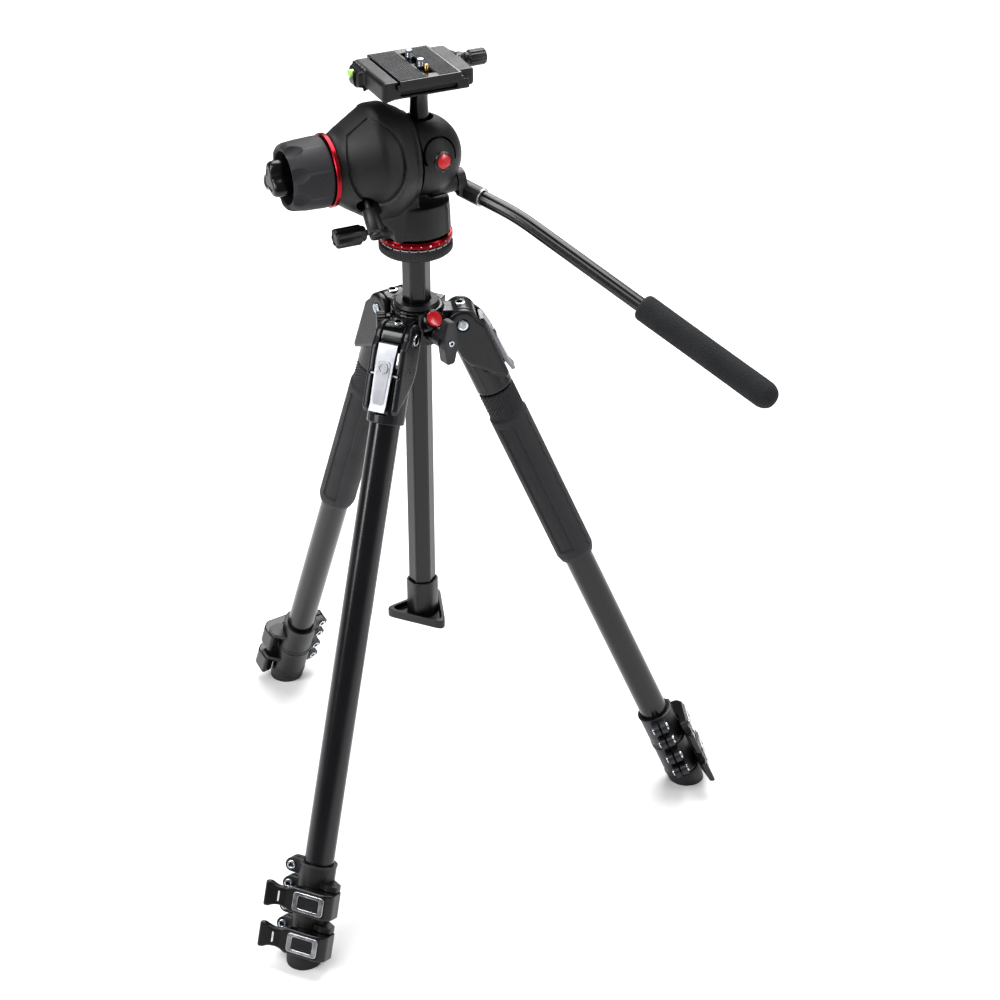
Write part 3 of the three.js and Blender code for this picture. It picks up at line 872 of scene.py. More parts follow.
def dress(
    piece: bpy.types.Object,
    finish: Finish,
    body: str,
    nodes: Sequence[str] = (),
    bevel_mm: float = 0.0,
    crease: float = 35.0,
) -> bpy.types.Object:
    """Gives a piece its finish and soft edges, and ties it to its body.

    Args:
        piece: The object.
        finish: Its finish.
        body: The body that it rides on.
        nodes: Frame nodes that it stands for.
        bevel_mm: Radius of its soft edges, or 0.
        crease: Edges sharper than this, in degrees, are edges and not curves.

    Returns:
        The piece.
    """
    piece.data.materials.clear()
    piece.data.materials.append(finish.material())
    piece.data.polygons.foreach_set("use_smooth", [True] * len(piece.data.polygons))
    piece.data.set_sharp_from_angle(angle=math.radians(crease))
    if bevel_mm:
        bevel = piece.modifiers.new("soft_edges", "BEVEL")
        bevel.width = bevel_mm * MM
        bevel.segments = 3
        bevel.limit_method = "ANGLE"
        bevel.angle_limit = math.radians(crease)
        bevel.harden_normals = True
        bevel.use_clamp_overlap = True
        bevel.miter_outer = "MITER_ARC"
    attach(piece, body)
    if nodes:
        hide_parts(*nodes)
    LOG.info("%s rides on %s, %d faces", piece.name, body, len(piece.data.polygons))
    return piece


def moved(x: float, y: float, z: float, along: Along = Along.UP) -> Matrix:
    """A place in millimetres, with a turn away from +Z."""
    return Matrix.Translation((x, y, z)) @ along.matrix()


def box_outline(low: tuple[float, float], high: tuple[float, float]) -> list[tuple[float, float]]:
    """The corners of a rectangle."""
    return [low, (high[0], low[1]), high, (low[0], high[1])]


def centred_outline(half_x: float, half_y: float) -> list[tuple[float, float]]:
    """The corners of a rectangle round zero."""
    return box_outline((-half_x, -half_y), (half_x, half_y))


def rod_profile(radius: float, low: float, high: float) -> list[tuple[float, float]]:
    """The profile of a plain rod between two heights."""
    return [(0, low), (radius, low), (radius, high), (0, high)]


def rib_profile(
    inner: float,
    outer: float,
    foot: float,
    crest: float,
) -> list[tuple[float, float]]:
    """The profile of a low rib that runs round a barrel.

    Args:
        inner: The radius that it stands on.
        outer: The radius of its crest.
        foot: Half its width where it stands.
        crest: Half its width at its crest.

    Returns:
        Its points, as radius and height.
    """
    return [(inner, -foot), (outer, -crest), (outer, crest), (inner, foot)]


def on_axis(height: float) -> Vector:
    """The point of the tripod's axis at a height, in metres."""
    low, high = (Vector(corner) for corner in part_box("plate_rim"))
    middle = (low + high) / 2
    return Vector((middle.x, middle.y, height))


def joint(name: str) -> dict[str, Any]:
    """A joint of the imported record, by name."""
    joints = frame["record"]["behaviour"]["joints"]
    return next(entry for entry in joints if entry["name"] == name)


def space_from(origin: Vector, x_axis: Vector, z_axis: Vector) -> Matrix:
    """A space in millimetres from an origin in metres and two directions.

    Args:
        origin: Where its zero lies in the frame.
        x_axis: Its x direction.
        z_axis: Its z direction.

    Returns:
        The matrix from its millimetres to the frame's metres.
    """
    x_axis, z_axis = x_axis.normalized(), z_axis.normalized()
    y_axis = z_axis.cross(x_axis)
    turn = Matrix((x_axis, y_axis, z_axis)).transposed().to_4x4()
    return Matrix.Translation(origin) @ turn @ Matrix.Scale(MM, 4)


# ---- Small fittings ----------------------------------------------------------------------------


def refined(
    space: Matrix,
    node: str,
    name: str,
    finish: Finish,
    body: str,
    bevel_mm: float,
) -> bpy.types.Object:
    """Makes a copy of a frame node, with soft edges and a finish, that stands for it.

    Args:
        space: The space that it is made in.
        node: The node's name.
        name: The piece's name.
        finish: Its finish.
        body: The body that it rides on.
        bevel_mm: Radius of its soft edges.

    Returns:
        The piece.
    """
    piece = Workpiece(space).copied(node).solid(name)
    return dress(piece, finish, body, [node], bevel_mm=bevel_mm)


def sphere_arc(radius: float, steps: int) -> list[tuple[float, float]]:
    """A half circle from pole to pole, to be turned into a sphere.

    Args:
        radius: The sphere's radius.
        steps: How many edges the arc has.

    Returns:
        Its points, as radius and height.
    """
    turns = [math.pi * (i / steps - 0.5) for i in range(1, steps)]
    rest = [(radius * math.cos(turn), radius * math.sin(turn)) for turn in turns]
    return [(0.0, -radius), *rest, (0.0, radius)]


def socket_screw(work: Workpiece, radius: float, height: float, matrix: Matrix) -> None:
    """Adds a round screw head with a hexagonal socket, standing on its z axis.

    Args:
        work: The workpiece that gets it.
        radius: The head's radius.
        height: The head's height.
        matrix: The middle of its underside.
    """
    key = radius * 0.5
    sunk = height - radius * 0.45
    hexagon = Section(key, flats=6, corner=key * 1.13)
    stations = [
        (-0.6, Section(radius * 0.96)),
        (0.0, Section(radius)),
        (height - radius * 0.16, Section(radius)),
        (height - radius * 0.04, Section(radius * 0.93)),
        (height, Section(radius * 0.82)),
        (height, Section(key * 1.22)),
        (height - radius * 0.06, hexagon),
        (sunk, hexagon),
        (sunk - radius * 0.1, Section(key * 0.4)),
    ]
    work.lofted(stations, 48, matrix)


def domed_badge(work: Workpiece, radius: float, height: float, matrix: Matrix) -> None:
    """Adds a low round dome that stands on its z axis.

    Args:
        work: The workpiece that gets it.
        radius: Its radius.
        height: How far it crowns.
        matrix: The middle of its underside.
    """
    steps = 8
    rim = 0.45
    arc = [i / steps for i in range(steps, 0, -1)]
    crown = [(radius * t, height * (rim + (1 - rim) * math.sqrt(1 - t * t))) for t in arc]
    profile = [(0.0, -0.8), (radius, -0.8), *crown, (0.0, height)]
    work.turned(profile, 64, matrix)


# ---- The legs ----------------------------------------------------------------------------------


@dataclass
class Leg:
    """One leg: yoke, angle lever, three tubes, two clamps and a foot.

    Its space has its zero on the hinge, the leg running down -Z and +X facing outwards.
    """

    side: Side
    tube_radii: tuple[float, float, float] = (12.5, 10.8, 9.1)
    tube_walls: tuple[float, float, float] = (1.2, 1.1, 1.1)
    tube_spans: tuple[tuple[float, float], ...] = ((-462, -28), (-497, -34), (-521, -40))
    clamp_tops: tuple[float, float] = (-445.0, -481.0)
    cheek_face: float = 15.7
    cheek_chamfer: float = 2.6
    ear_y: float = -21.5
    ear_drops: tuple[float, float] = (6.5, 23.0)
    lever_drop: float = 18.2
    lever_height: float = 22.3
    lever_face: float = 25.0
    lever_chamfer: float = 1.1
    lever_voxel: float = 0.45
    waist_y: float = -19.5
    waist_radius: float = 17.0
    waist_depth: float = 3.4
    bezel_half: tuple[float, float] = (8.2, 14.0)
    window_half: tuple[float, float] = (5.4, 9.6)
    grip_span: tuple[float, float] = (-254.0, -72.0)
    grip_radius: float = 16.6
    grip_band: float = 24.0
    grip_shoulder: float = 27.0
    grip_hem: float = 5.0
    foot_radius: float = 15.5
    space: Matrix = field(init=False)

    def __post_init__(self) -> None:
        """Finds the leg's space from its joints."""
        spread = joint(f"leg_spread_{self.side.word}")
        slide = joint(f"middle_slide_{self.side.word}")
        sideways = -Vector(spread["axis"])
        upwards = -Vector(slide["axis"])
        self.space = space_from(Vector(spread["pos_m"]), sideways.cross(upwards), upwards)

    def named(self, word: str) -> str:
        """A name that ends in this leg's side."""
        return f"{word}_{self.side.word}"

    def tube(self, index: int, word: str, body: str) -> None:
        """One thin-walled tube with a hairline chamfer at its ends.

        Args:
            index: 0 for the upper tube, 1 for the middle one, 2 for the lower one.
            word: The tube's name.
            body: The body that it rides on.
        """
        outer = self.tube_radii[index]
        inner = outer - self.tube_walls[index]
        end, top = self.tube_spans[index]
        bevel = 0.35
        profile = [
            (outer, end + bevel),
            (outer - bevel, end),
            (inner, end),
            (inner, top),
            (outer - bevel, top),
            (outer, top - bevel),
        ]
        work = Workpiece(self.space).turned(profile, 128, closed=True)
        piece = work.solid(self.named(f"{word}_skin"))
        dress(piece, TUBE, self.named(body), [self.named(word)])

    def yoke(self) -> None:
        """The casting that holds the tube and straddles the knuckle."""
        node = self.named("leg_yoke")
        work = Workpiece(self.space).copied(node)
        work.chamfered(lambda at: abs(at.y) > self.cheek_face, self.cheek_chamfer)
        piece = work.solid(self.named("yoke_casting"))
        melted(piece, voxel_mm=0.6, passes=3)
        dress(piece, CASTING, self.named("leg"), [node], crease=50)

    def hinge_pin(self) -> None:
        """The pin's two socket heads, one on each cheek."""
        work = Workpiece(self.space)
        work.turned(rod_profile(3.1, -15.0, 15.0), 48, moved(0, 0, 0, Along.RIGHTWARD))
        for reach, along in ((15.1, Along.LEFTWARD), (-15.1, Along.RIGHTWARD)):
            socket_screw(work, 4.6, 1.7, moved(0, reach, 0, along))
        piece = work.solid(self.named("hinge_screw"))
        dress(piece, STEEL, self.named("leg"), [self.named("hinge_pin")])

    def angle_lever(self) -> None:
        """The silver lever, with a pressed panel and a ring on its face."""
        node = self.named("angle_lever")
        plate = self.named("angle_lever_plate")
        refined(self.space, node, plate, BRUSHED, node, bevel_mm=0.9)
        lean = Matrix.Rotation(math.radians(-1.4), 4, "Y")
        face = moved(19.25, 0, -30) @ lean @ Along.OUT.matrix()
        panel = Workpiece(self.space)
        outline = [(-11, -5.6), (24, -4.9), (24, 4.9), (-11, 5.6)]
        panel.plate(outline, 0.0, 0.95, 2.4, face)
        panel.turned(
            [(3.1, 0.2), (3.1, 1.3), (3.4, 1.6), (4.1, 1.6), (4.4, 1.3), (4.4, 0.2)],
            48,
            face @ Matrix.Translation((-5.2, 0, 0)),
            closed=True,
        )
        raised = panel.solid(self.named("angle_lever_panel"))
        dress(raised, BRUSHED, node, bevel_mm=0.3)

    def clamp(self, index: int, word: str, body: str) -> None:
        """A split collar with its socket screws and a thin rim at each end.

        Args:
            index: 0 for the upper clamp, 1 for the lower one.
            word: The clamp's name.
            body: The body that it rides on.
        """
        rides = self.named(body)
        collar = self.named(f"{word}_collar")
        refined(self.space, self.named(word), collar, MOULDED, rides, bevel_mm=0.7)
        top = self.clamp_tops[index]
        screws = Workpiece(self.space)
        for drop in self.ear_drops:
            socket_screw(screws, 3.9, 1.5, moved(6.2, self.ear_y, top - drop, Along.OUT))
            socket_screw(screws, 3.6, 1.2, moved(-6.2, self.ear_y, top - drop, Along.IN))
        dress(screws.solid(self.named(f"{word}_screws")), STEEL, rides)
        bands = Workpiece(self.space)
        band = rib_profile(15.2, 15.9, foot=1.0, crest=0.7)
        for height in (top - 0.8, top - 33.2):
            bands.turned(band, 96, Matrix.Translation((0, 0, height)), closed=True)
        dress(bands.solid(self.named(f"{word}_rims")), MOULDED, rides)

    def clamp_lever(self, index: int, word: str, body: str) -> None:
        """A flip lever with a waisted arm, a plated window and a printed bar.

        Args:
            index: 0 for the upper clamp's lever, 1 for the lower one's.
            word: The lever's name.
            body: The body that it rides on.
        """
        rides = self.named(body)
        middle = self.clamp_tops[index] - self.lever_drop - self.lever_height / 2
        self.lever_arm(word, rides, middle)
        self.lever_window(word, rides, middle)
        tilt = Matrix.Rotation(math.radians(3), 4, "Z")
        spot = moved(self.lever_face - 0.55, -22, middle) @ tilt @ Along.OUT.matrix()
        mark = Workpiece(self.space)
        mark.plate(centred_outline(4.6, 1.7), -0.6, 0.35, 1.2, spot)
        mark.plate(centred_outline(3.6, 0.8), -1.0, 0.2, 0.3, spot)
        label = mark.solid(self.named(f"{word}_label"))
        dress(label, LABEL, rides, bevel_mm=0.1)

    def lever_arm(self, word: str, rides: str, middle: float) -> None:
        """The lever's arm, drawn in between its window and its thumb tab.

        Args:
            word: The lever's name.
            rides: The body that it rides on.
            middle: The height of its middle.
        """
        node = self.named(word)
        work = Workpiece(self.space).copied(node)
        work.chamfered(lambda at: at.x > 10, self.lever_chamfer)
        arm = work.solid(self.named(f"{word}_arm"))
        melted(arm, self.lever_voxel, passes=0)
        reach = self.waist_radius - self.waist_depth + self.lever_height / 2
        waists = []
        for edge in (-1, 1):
            spot = moved(0, self.waist_y, middle + edge * reach, Along.OUT)
            waist = Workpiece(self.space).turned(rod_profile(self.waist_radius, 5, 40), 96, spot)
            waists.append(waist.solid("waist"))
        combined(arm, waists, Carve.CUT)
        melted(arm, self.lever_voxel, passes=3)
        dress(arm, GLOSS, rides, [node], crease=50)

    def lever_window(self, word: str, rides: str, middle: float) -> None:
        """The plated trim on the lever's face, with a black pane in it.

        Args:
            word: The lever's name.
            rides: The body that it rides on.
            middle: The height of its middle.
        """
        face = moved(self.lever_face, 6.5, middle) @ Along.OUT.matrix()
        bezel = Workpiece(self.space)
        bezel.plate(centred_outline(*self.bezel_half), -0.8, 0.75, 2.6, face)
        trim = bezel.solid(self.named(f"{word}_bezel"))
        hole = Workpiece(self.space).plate(centred_outline(*self.window_half), -3, 3, 1.8, face)
        combined(trim, [hole.solid("hole")], Carve.CUT)
        dress(trim, NICKEL, rides, bevel_mm=0.45)
        pane = Workpiece(self.space).plate(centred_outline(5.8, 10), -0.6, 0.15, 1.6, face)
        window = pane.solid(self.named(f"{word}_window"))
        dress(window, GLOSS, rides, bevel_mm=0.15)

    def grip(self) -> None:
        """The rubber sleeve: a ribbed band, sunk panels and a notched line down its outer side."""
        end, top = self.grip_span
        rows, segments = 300, 230
        heights = [end + (top - end) * row / rows for row in range(rows + 1)]
        stations = [(height, Section(self.profile(height))) for height in heights]
        bore = Section(self.tube_radii[0] + 0.35)
        work = Workpiece(self.space)
        work.lofted(stations + [(top, bore), (end, bore)], segments, hollow=True)
        for vert in work.mesh.verts:
            reach = math.hypot(vert.co.x, vert.co.y)
            if reach > bore.wide + 1:
                angle = math.atan2(vert.co.y, vert.co.x)
                scale = 1 + self.relief(angle, vert.co.z) / reach
                vert.co.x *= scale
                vert.co.y *= scale
        sleeve = work.solid(self.named("grip_sleeve"))
        node = self.named("leg_grip")
        dress(sleeve, RUBBER, self.named("leg"), [node], crease=50)

    def profile(self, height: float) -> float:
        """The sleeve's radius at a height, before its relief."""
        end, top = self.grip_span
        full = self.grip_radius
        down, up = top - height, height - end
        slope = 0.5
        if down < self.grip_band:
            band = full - slope * (self.grip_shoulder - self.grip_band)
            return band - max(0.0, 1.2 - down) * 0.8
        if down < self.grip_shoulder:
            return full - slope * (self.grip_shoulder - down)
        if up < self.grip_hem:
            return full - 0.28 * (self.grip_hem - up)
        return full

    def relief(self, angle: float, height: float) -> float:
        """How far the sleeve's surface stands out or in, in millimetres.

        Args:
            angle: Direction round the leg, in radians, from outwards.
            height: Place along the leg.

        Returns:
            The offset along the radius.
        """
        end, top = self.grip_span
        down, up = top - height, height - end
        turn = abs(math.degrees(angle))
        if down < self.grip_band - 1:
            ridge, pitch, twist = 0.4, 3.4, 14.8
            return ridge * math.sin(TURN * (angle * twist + down) / pitch)
        offset = 0.0
        panel_at, panel_half, panel_depth, wall = 112, 26, 1.1, 1.6
        inside = min(panel_half - abs(turn - panel_at), (down - 33) * wall, (up - 12) * wall)
        if inside > 0:
            pebbles = math.sin(angle * 62) * math.sin(height * 2.4)
            offset -= panel_depth * min(1.0, inside / wall)
            offset += 0.2 * pebbles * min(1.0, inside / 5)
        line_at, jog, pitch, line_half, line_depth = 33, 4, 11.0, 3, 0.8
        near = abs(turn - line_at - (jog if up % pitch < pitch / 2 else 0))
        if near < line_half and down > 30 and up > 8:
            offset -= line_depth * (1 - near / line_half)
        return offset

    def foot(self) -> None:
        """The rubber boot, rounded off and cut level at the floor."""
        radius = self.foot_radius
        profile = [
            (0, -547),
            (8, -546),
            (12.5, -541.5),
            (14.6, -536),
            (radius, -529),
            (radius, -519.2),
            (radius - 0.8, -517.6),
            (9.6, -517.6),
            (9.6, -521.6),
            (0, -521.6),
        ]
        work = Workpiece(self.space).turned(profile, 96)
        rib = rib_profile(14.9, 15.48, foot=0.6, crest=0.3)
        for height in (-520.5, -525.0):
            work.turned(rib, 96, Matrix.Translation((0, 0, height)), closed=True)
        work.place(work.mesh.verts, work.space)
        work.space = Matrix()
        cut = bmesh.ops.bisect_plane(
            work.mesh,
            geom=work.mesh.verts[:] + work.mesh.edges[:] + work.mesh.faces[:],
            dist=1e-7,
            plane_co=(0, 0, CAD_BOX[0][2]),
            plane_no=(0, 0, 1),
            clear_inner=True,
        )
        rim = [item for item in cut["geom_cut"] if isinstance(item, bmesh.types.BMEdge)]
        bmesh.ops.edgeloop_fill(work.mesh, edges=rim)
        boot = work.solid(self.named("rubber_boot"))
        body = self.named("lower")
        dress(boot, SOLE, body, [self.named("rubber_foot")], crease=40)

    def build(self) -> None:
        """Makes every piece of the leg."""
        self.yoke()
        self.hinge_pin()
        self.angle_lever()
        self.tube(0, "upper_tube", "leg")
        self.clamp(0, "upper_clamp", "leg")
        self.clamp_lever(0, "upper_clamp_lever", "upper_lever")
        self.tube(1, "middle_tube", "middle")
        self.clamp(1, "lower_clamp", "middle")
        self.clamp_lever(1, "lower_clamp_lever", "lower_lever")
        self.tube(2, "lower_tube", "lower")
        self.foot()
        if self.side is not Side.FRONT:
            self.grip()


# ---- The spider and the column -----------------------------------------------------------------


@dataclass
class Spider:
    """The casting that the legs hinge on, with its bush, knob, plug, screws and badge.

    Its space stands on the tripod's axis, at the height of the hinges.
    """

    hinge_radius: float = 36.0
    knob_turn: float = -30.0
    knob_height: float = -3.0
    badge_reach: float = 24.2
    space: Matrix = field(init=False)

    def __post_init__(self) -> None:
        """Puts the zero on the tripod's axis, at the height of the hinges."""
        origin = on_axis(joint("leg_spread_front")["pos_m"][2])
        self.space = space_from(origin, Vector((1, 0, 0)), Vector((0, 0, 1)))

    def about(self, degrees: float) -> Matrix:
        """A turn about the tripod's axis."""
        return Matrix.Rotation(math.radians(degrees), 4, "Z")

    def casting(self) -> None:
        """The casting, the bush and the plug."""
        body = Workpiece(self.space).copied("spider_casting").solid("spider_body")
        melted(body, voxel_mm=0.7, passes=3)
        dress(body, GLOSS, "spider", ["spider_casting"], crease=50)
        for node, name, bevel in (
            ("column_bush", "column_collar", 0.8),
            ("accessory_plug", "accessory_cap", 0.4),
        ):
            refined(self.space, node, name, MOULDED, "spider", bevel)

    def knuckle_screws(self) -> None:
        """The bright screws on top of the three knuckles."""
        work = Workpiece(self.space)
        for side in Side:
            spot = self.about(side.value) @ Matrix.Translation((self.hinge_radius - 1, 0, 12.2))
            socket_screw(work, 4.4, 1.8, spot)
        piece = work.solid("knuckle_screws")
        dress(piece, STEEL, "spider")

    def badge(self) -> None:
        """A plain red badge in a black socket, between the front and right legs."""
        tilt = self.about(self.knob_turn) @ Matrix.Translation((self.badge_reach, 0, 9.5))
        tilt = tilt @ Matrix.Rotation(math.radians(48), 4, "Y")
        socket = Workpiece(self.space)
        cup = [(0, -9), (9.6, -9), (9.6, -1.2), (8.8, 0.2), (7.6, 0.9), (6.7, 0.7), (0, 0.7)]
        socket.turned(cup, 64, tilt)
        dress(socket.solid("badge_socket"), GLOSS, "spider")
        work = Workpiece(self.space)
        domed_badge(work, 6.6, 1.0, tilt @ Matrix.Translation((0, 0, 0.5)))
        dress(work.solid("spider_badge"), ENAMEL, "spider")

    def knob(self) -> None:
        """The column's wing knob, with its small screw."""
        node = "column_lock_knob"
        refined(self.space, node, "column_knob", MOULDED, node, bevel_mm=1.5)
        screw = Workpiece(self.space)
        spot = self.about(self.knob_turn) @ moved(48.2, 0, self.knob_height, Along.OUT)
        socket_screw(screw, 2.6, 0.8, spot)
        dress(screw.solid("column_knob_screw"), STEEL, node)

    def build(self) -> None:
        """Makes every piece of the spider."""
        self.casting()
        self.knuckle_screws()
        self.badge()
        self.knob()


@dataclass
class Column:
    """The sliding column with its foot and top plate. Its space stands on the floor."""

    flat: float = 10.3
    corner: float = 11.45
    wall: float = 1.6
    tube_span: tuple[float, float] = (206.0, 551.0)
    plate_bottom: float = 551.4
    rim_height: float = 9.0
    rim_radius: float = 30.0
    disc_radius: float = 28.4
    stud_clearance: float = 5.05
    stud_pitch: float = 1.6
    teeth: int = 120
    notches: int = 24
    space: Matrix = field(init=False)

    def __post_init__(self) -> None:
        """Puts the zero on the floor, below the plate."""
        floor = on_axis(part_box("plate_rim")[0][2] - self.plate_bottom * MM)
        self.space = space_from(floor, Vector((1, 0, 0)), Vector((0, 0, 1)))

    def tube(self) -> None:
        """The six-sided tube, with rounded corners."""
        low, high = self.tube_span
        bevel = 0.4
        outer = Section(self.flat, flats=6, corner=self.corner)
        end = Section(self.flat - bevel, flats=6, corner=self.corner - bevel)
        work = Workpiece(self.space)
        work.lofted([(low, end), (low + bevel, outer), (high, outer)], 144)
        piece = work.solid("column_skin")
        inner = Section(self.flat - self.wall, flats=6, corner=self.corner - self.wall)
        bore = Workpiece(self.space).lofted([(low - 3, inner), (high + 3, inner)], 144)
        combined(piece, [bore.solid("bore")], Carve.CUT)
        dress(piece, TUBE, "column", ["column_tube"], crease=30)

    def foot(self) -> None:
        """The three-cornered cap on the column's lower end."""
        node = "column_foot"
        refined(self.space, node, "column_cap", MOULDED, "column", bevel_mm=1.0)

    def stud_room(self, low: float, high: float) -> bpy.types.Object:
        """A rod that clears the stud, between two heights."""
        profile = rod_profile(self.stud_clearance, low, high)
        return Workpiece(self.space).turned(profile, 48).solid("stud_room")

    def plate(self) -> None:
        """The toothed rim, the silver disc with its grooves, and the threaded stud."""
        low = self.plate_bottom
        top = low + self.rim_height
        radius = self.rim_radius
        toothed = Section(radius, lobes=self.teeth, hollow=0.5, sharp=1.6)
        work = Workpiece(self.space)
        work.lofted(
            [
                (low, Section(radius - 2.2)),
                (low + 1.4, Section(radius - 0.6)),
                (low + 2.0, toothed),
                (top - 1.8, toothed),
                (top - 1.2, Section(radius - 0.6)),
                (top, Section(radius - 1.5)),
            ],
            self.teeth * 6,
        )
        rim = work.solid("plate_rim_toothed")
        combined(rim, [self.stud_room(low + 3, top + 9)], Carve.CUT)
        dress(rim, SOLE, "column", ["plate_rim"], crease=40)
        base = top + 0.02
        face = Workpiece(self.space)
        whole, crest = Section(self.disc_radius), Section(self.disc_radius - 0.4)
        face.lofted([(base, whole), (base + 0.9, whole), (base + 1.26, crest)], 144)
        disc = face.solid("plate_disc")
        cutters = [self.stud_room(base - 2, base + 9)]
        for turn in (-60, -90, -120):
            spoke = Matrix.Rotation(math.radians(turn), 4, "Z")
            groove = Workpiece(self.space)
            groove.plate(box_outline((9, -1.1), (25, 1.1)), base + 0.4, base + 5, 0.9, spoke)
            cutters.append(groove.solid("groove"))
        for index in range(self.notches):
            spoke = Matrix.Rotation(TURN * index / self.notches, 4, "Z")
            notch = Workpiece(self.space)
            notch.plate(box_outline((27.6, -0.9), (30, 0.9)), base - 2, base + 5, 0.0, spoke)
            cutters.append(notch.solid("notch"))
        combined(disc, cutters, Carve.CUT)
        dress(disc, BRUSHED, "column", ["plate_face"], crease=30)
        stud = Workpiece(self.space)
        tip = top + 1.3 + 4.4
        profile = [(0, low + 3.5), (4.0, low + 3.5)]
        height = low + 4
        while height + self.stud_pitch < tip - 0.8:
            profile += [(4.65, height + 0.5), (4.65, height + 0.7), (3.95, height + 1.4)]
            height += self.stud_pitch
        profile += [(3.9, tip - 0.5), (3.3, tip), (0, tip)]
        stud.turned(profile, 64)
        dress(stud.solid("stud_thread"), STEEL, "column", ["head_stud"])

    def build(self) -> None:
        """Makes every piece of the column."""
        self.tube()
        self.foot()
        self.plate()


# ---- The head ----------------------------------------------------------------------------------


@dataclass
class HeadPart:
    """A group of the head's pieces.

    Its space has its zero under the head, the tilt axis along x and the lens towards +y.
    """

    tilt_height: float = 70.0
    housing_face: float = -5.5
    dome_x: float = 5.0
    ball_room_radius: float = 21.6
    space: Matrix = field(init=False)

    def __post_init__(self) -> None:
        """Finds the head's space from its joints and its base ring."""
        pan = Vector(joint("head_pan")["pos_m"])
        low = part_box("head_base_ring")[0][2]
        tilt = Vector(joint("head_tilt")["axis"])
        self.space = space_from(Vector((pan.x, pan.y, low)), tilt, Vector((0, 0, 1)))

    def work(self) -> Workpiece:
        """A new workpiece in the head's space."""
        return Workpiece(self.space)

    def tilt_axis(self, x: float, along: Along = Along.OUT) -> Matrix:
        """A place on the tilt axis, with +z turned along it."""
        return moved(x, 0, self.tilt_height, along)

    def ball_room(self) -> bpy.types.Object:
        """A sphere that clears the ball."""
        middle = moved(self.dome_x, 0, self.tilt_height)
        ball = self.work().turned(sphere_arc(self.ball_room_radius, 24), 64, middle)
        return ball.solid("ball_room")

    def rod(self, radius: float, low: float, high: float, matrix: Matrix) -> bpy.types.Object:
        """A plain rod that cuts a bore or a spot face.

        Args:
            radius: Its radius.
            low: Where it starts on its own z axis.
            high: Where it ends.
            matrix: Where its axis runs.

        Returns:
            The rod.
        """
        return self.work().turned(rod_profile(radius, low, high), 96, matrix).solid("rod")


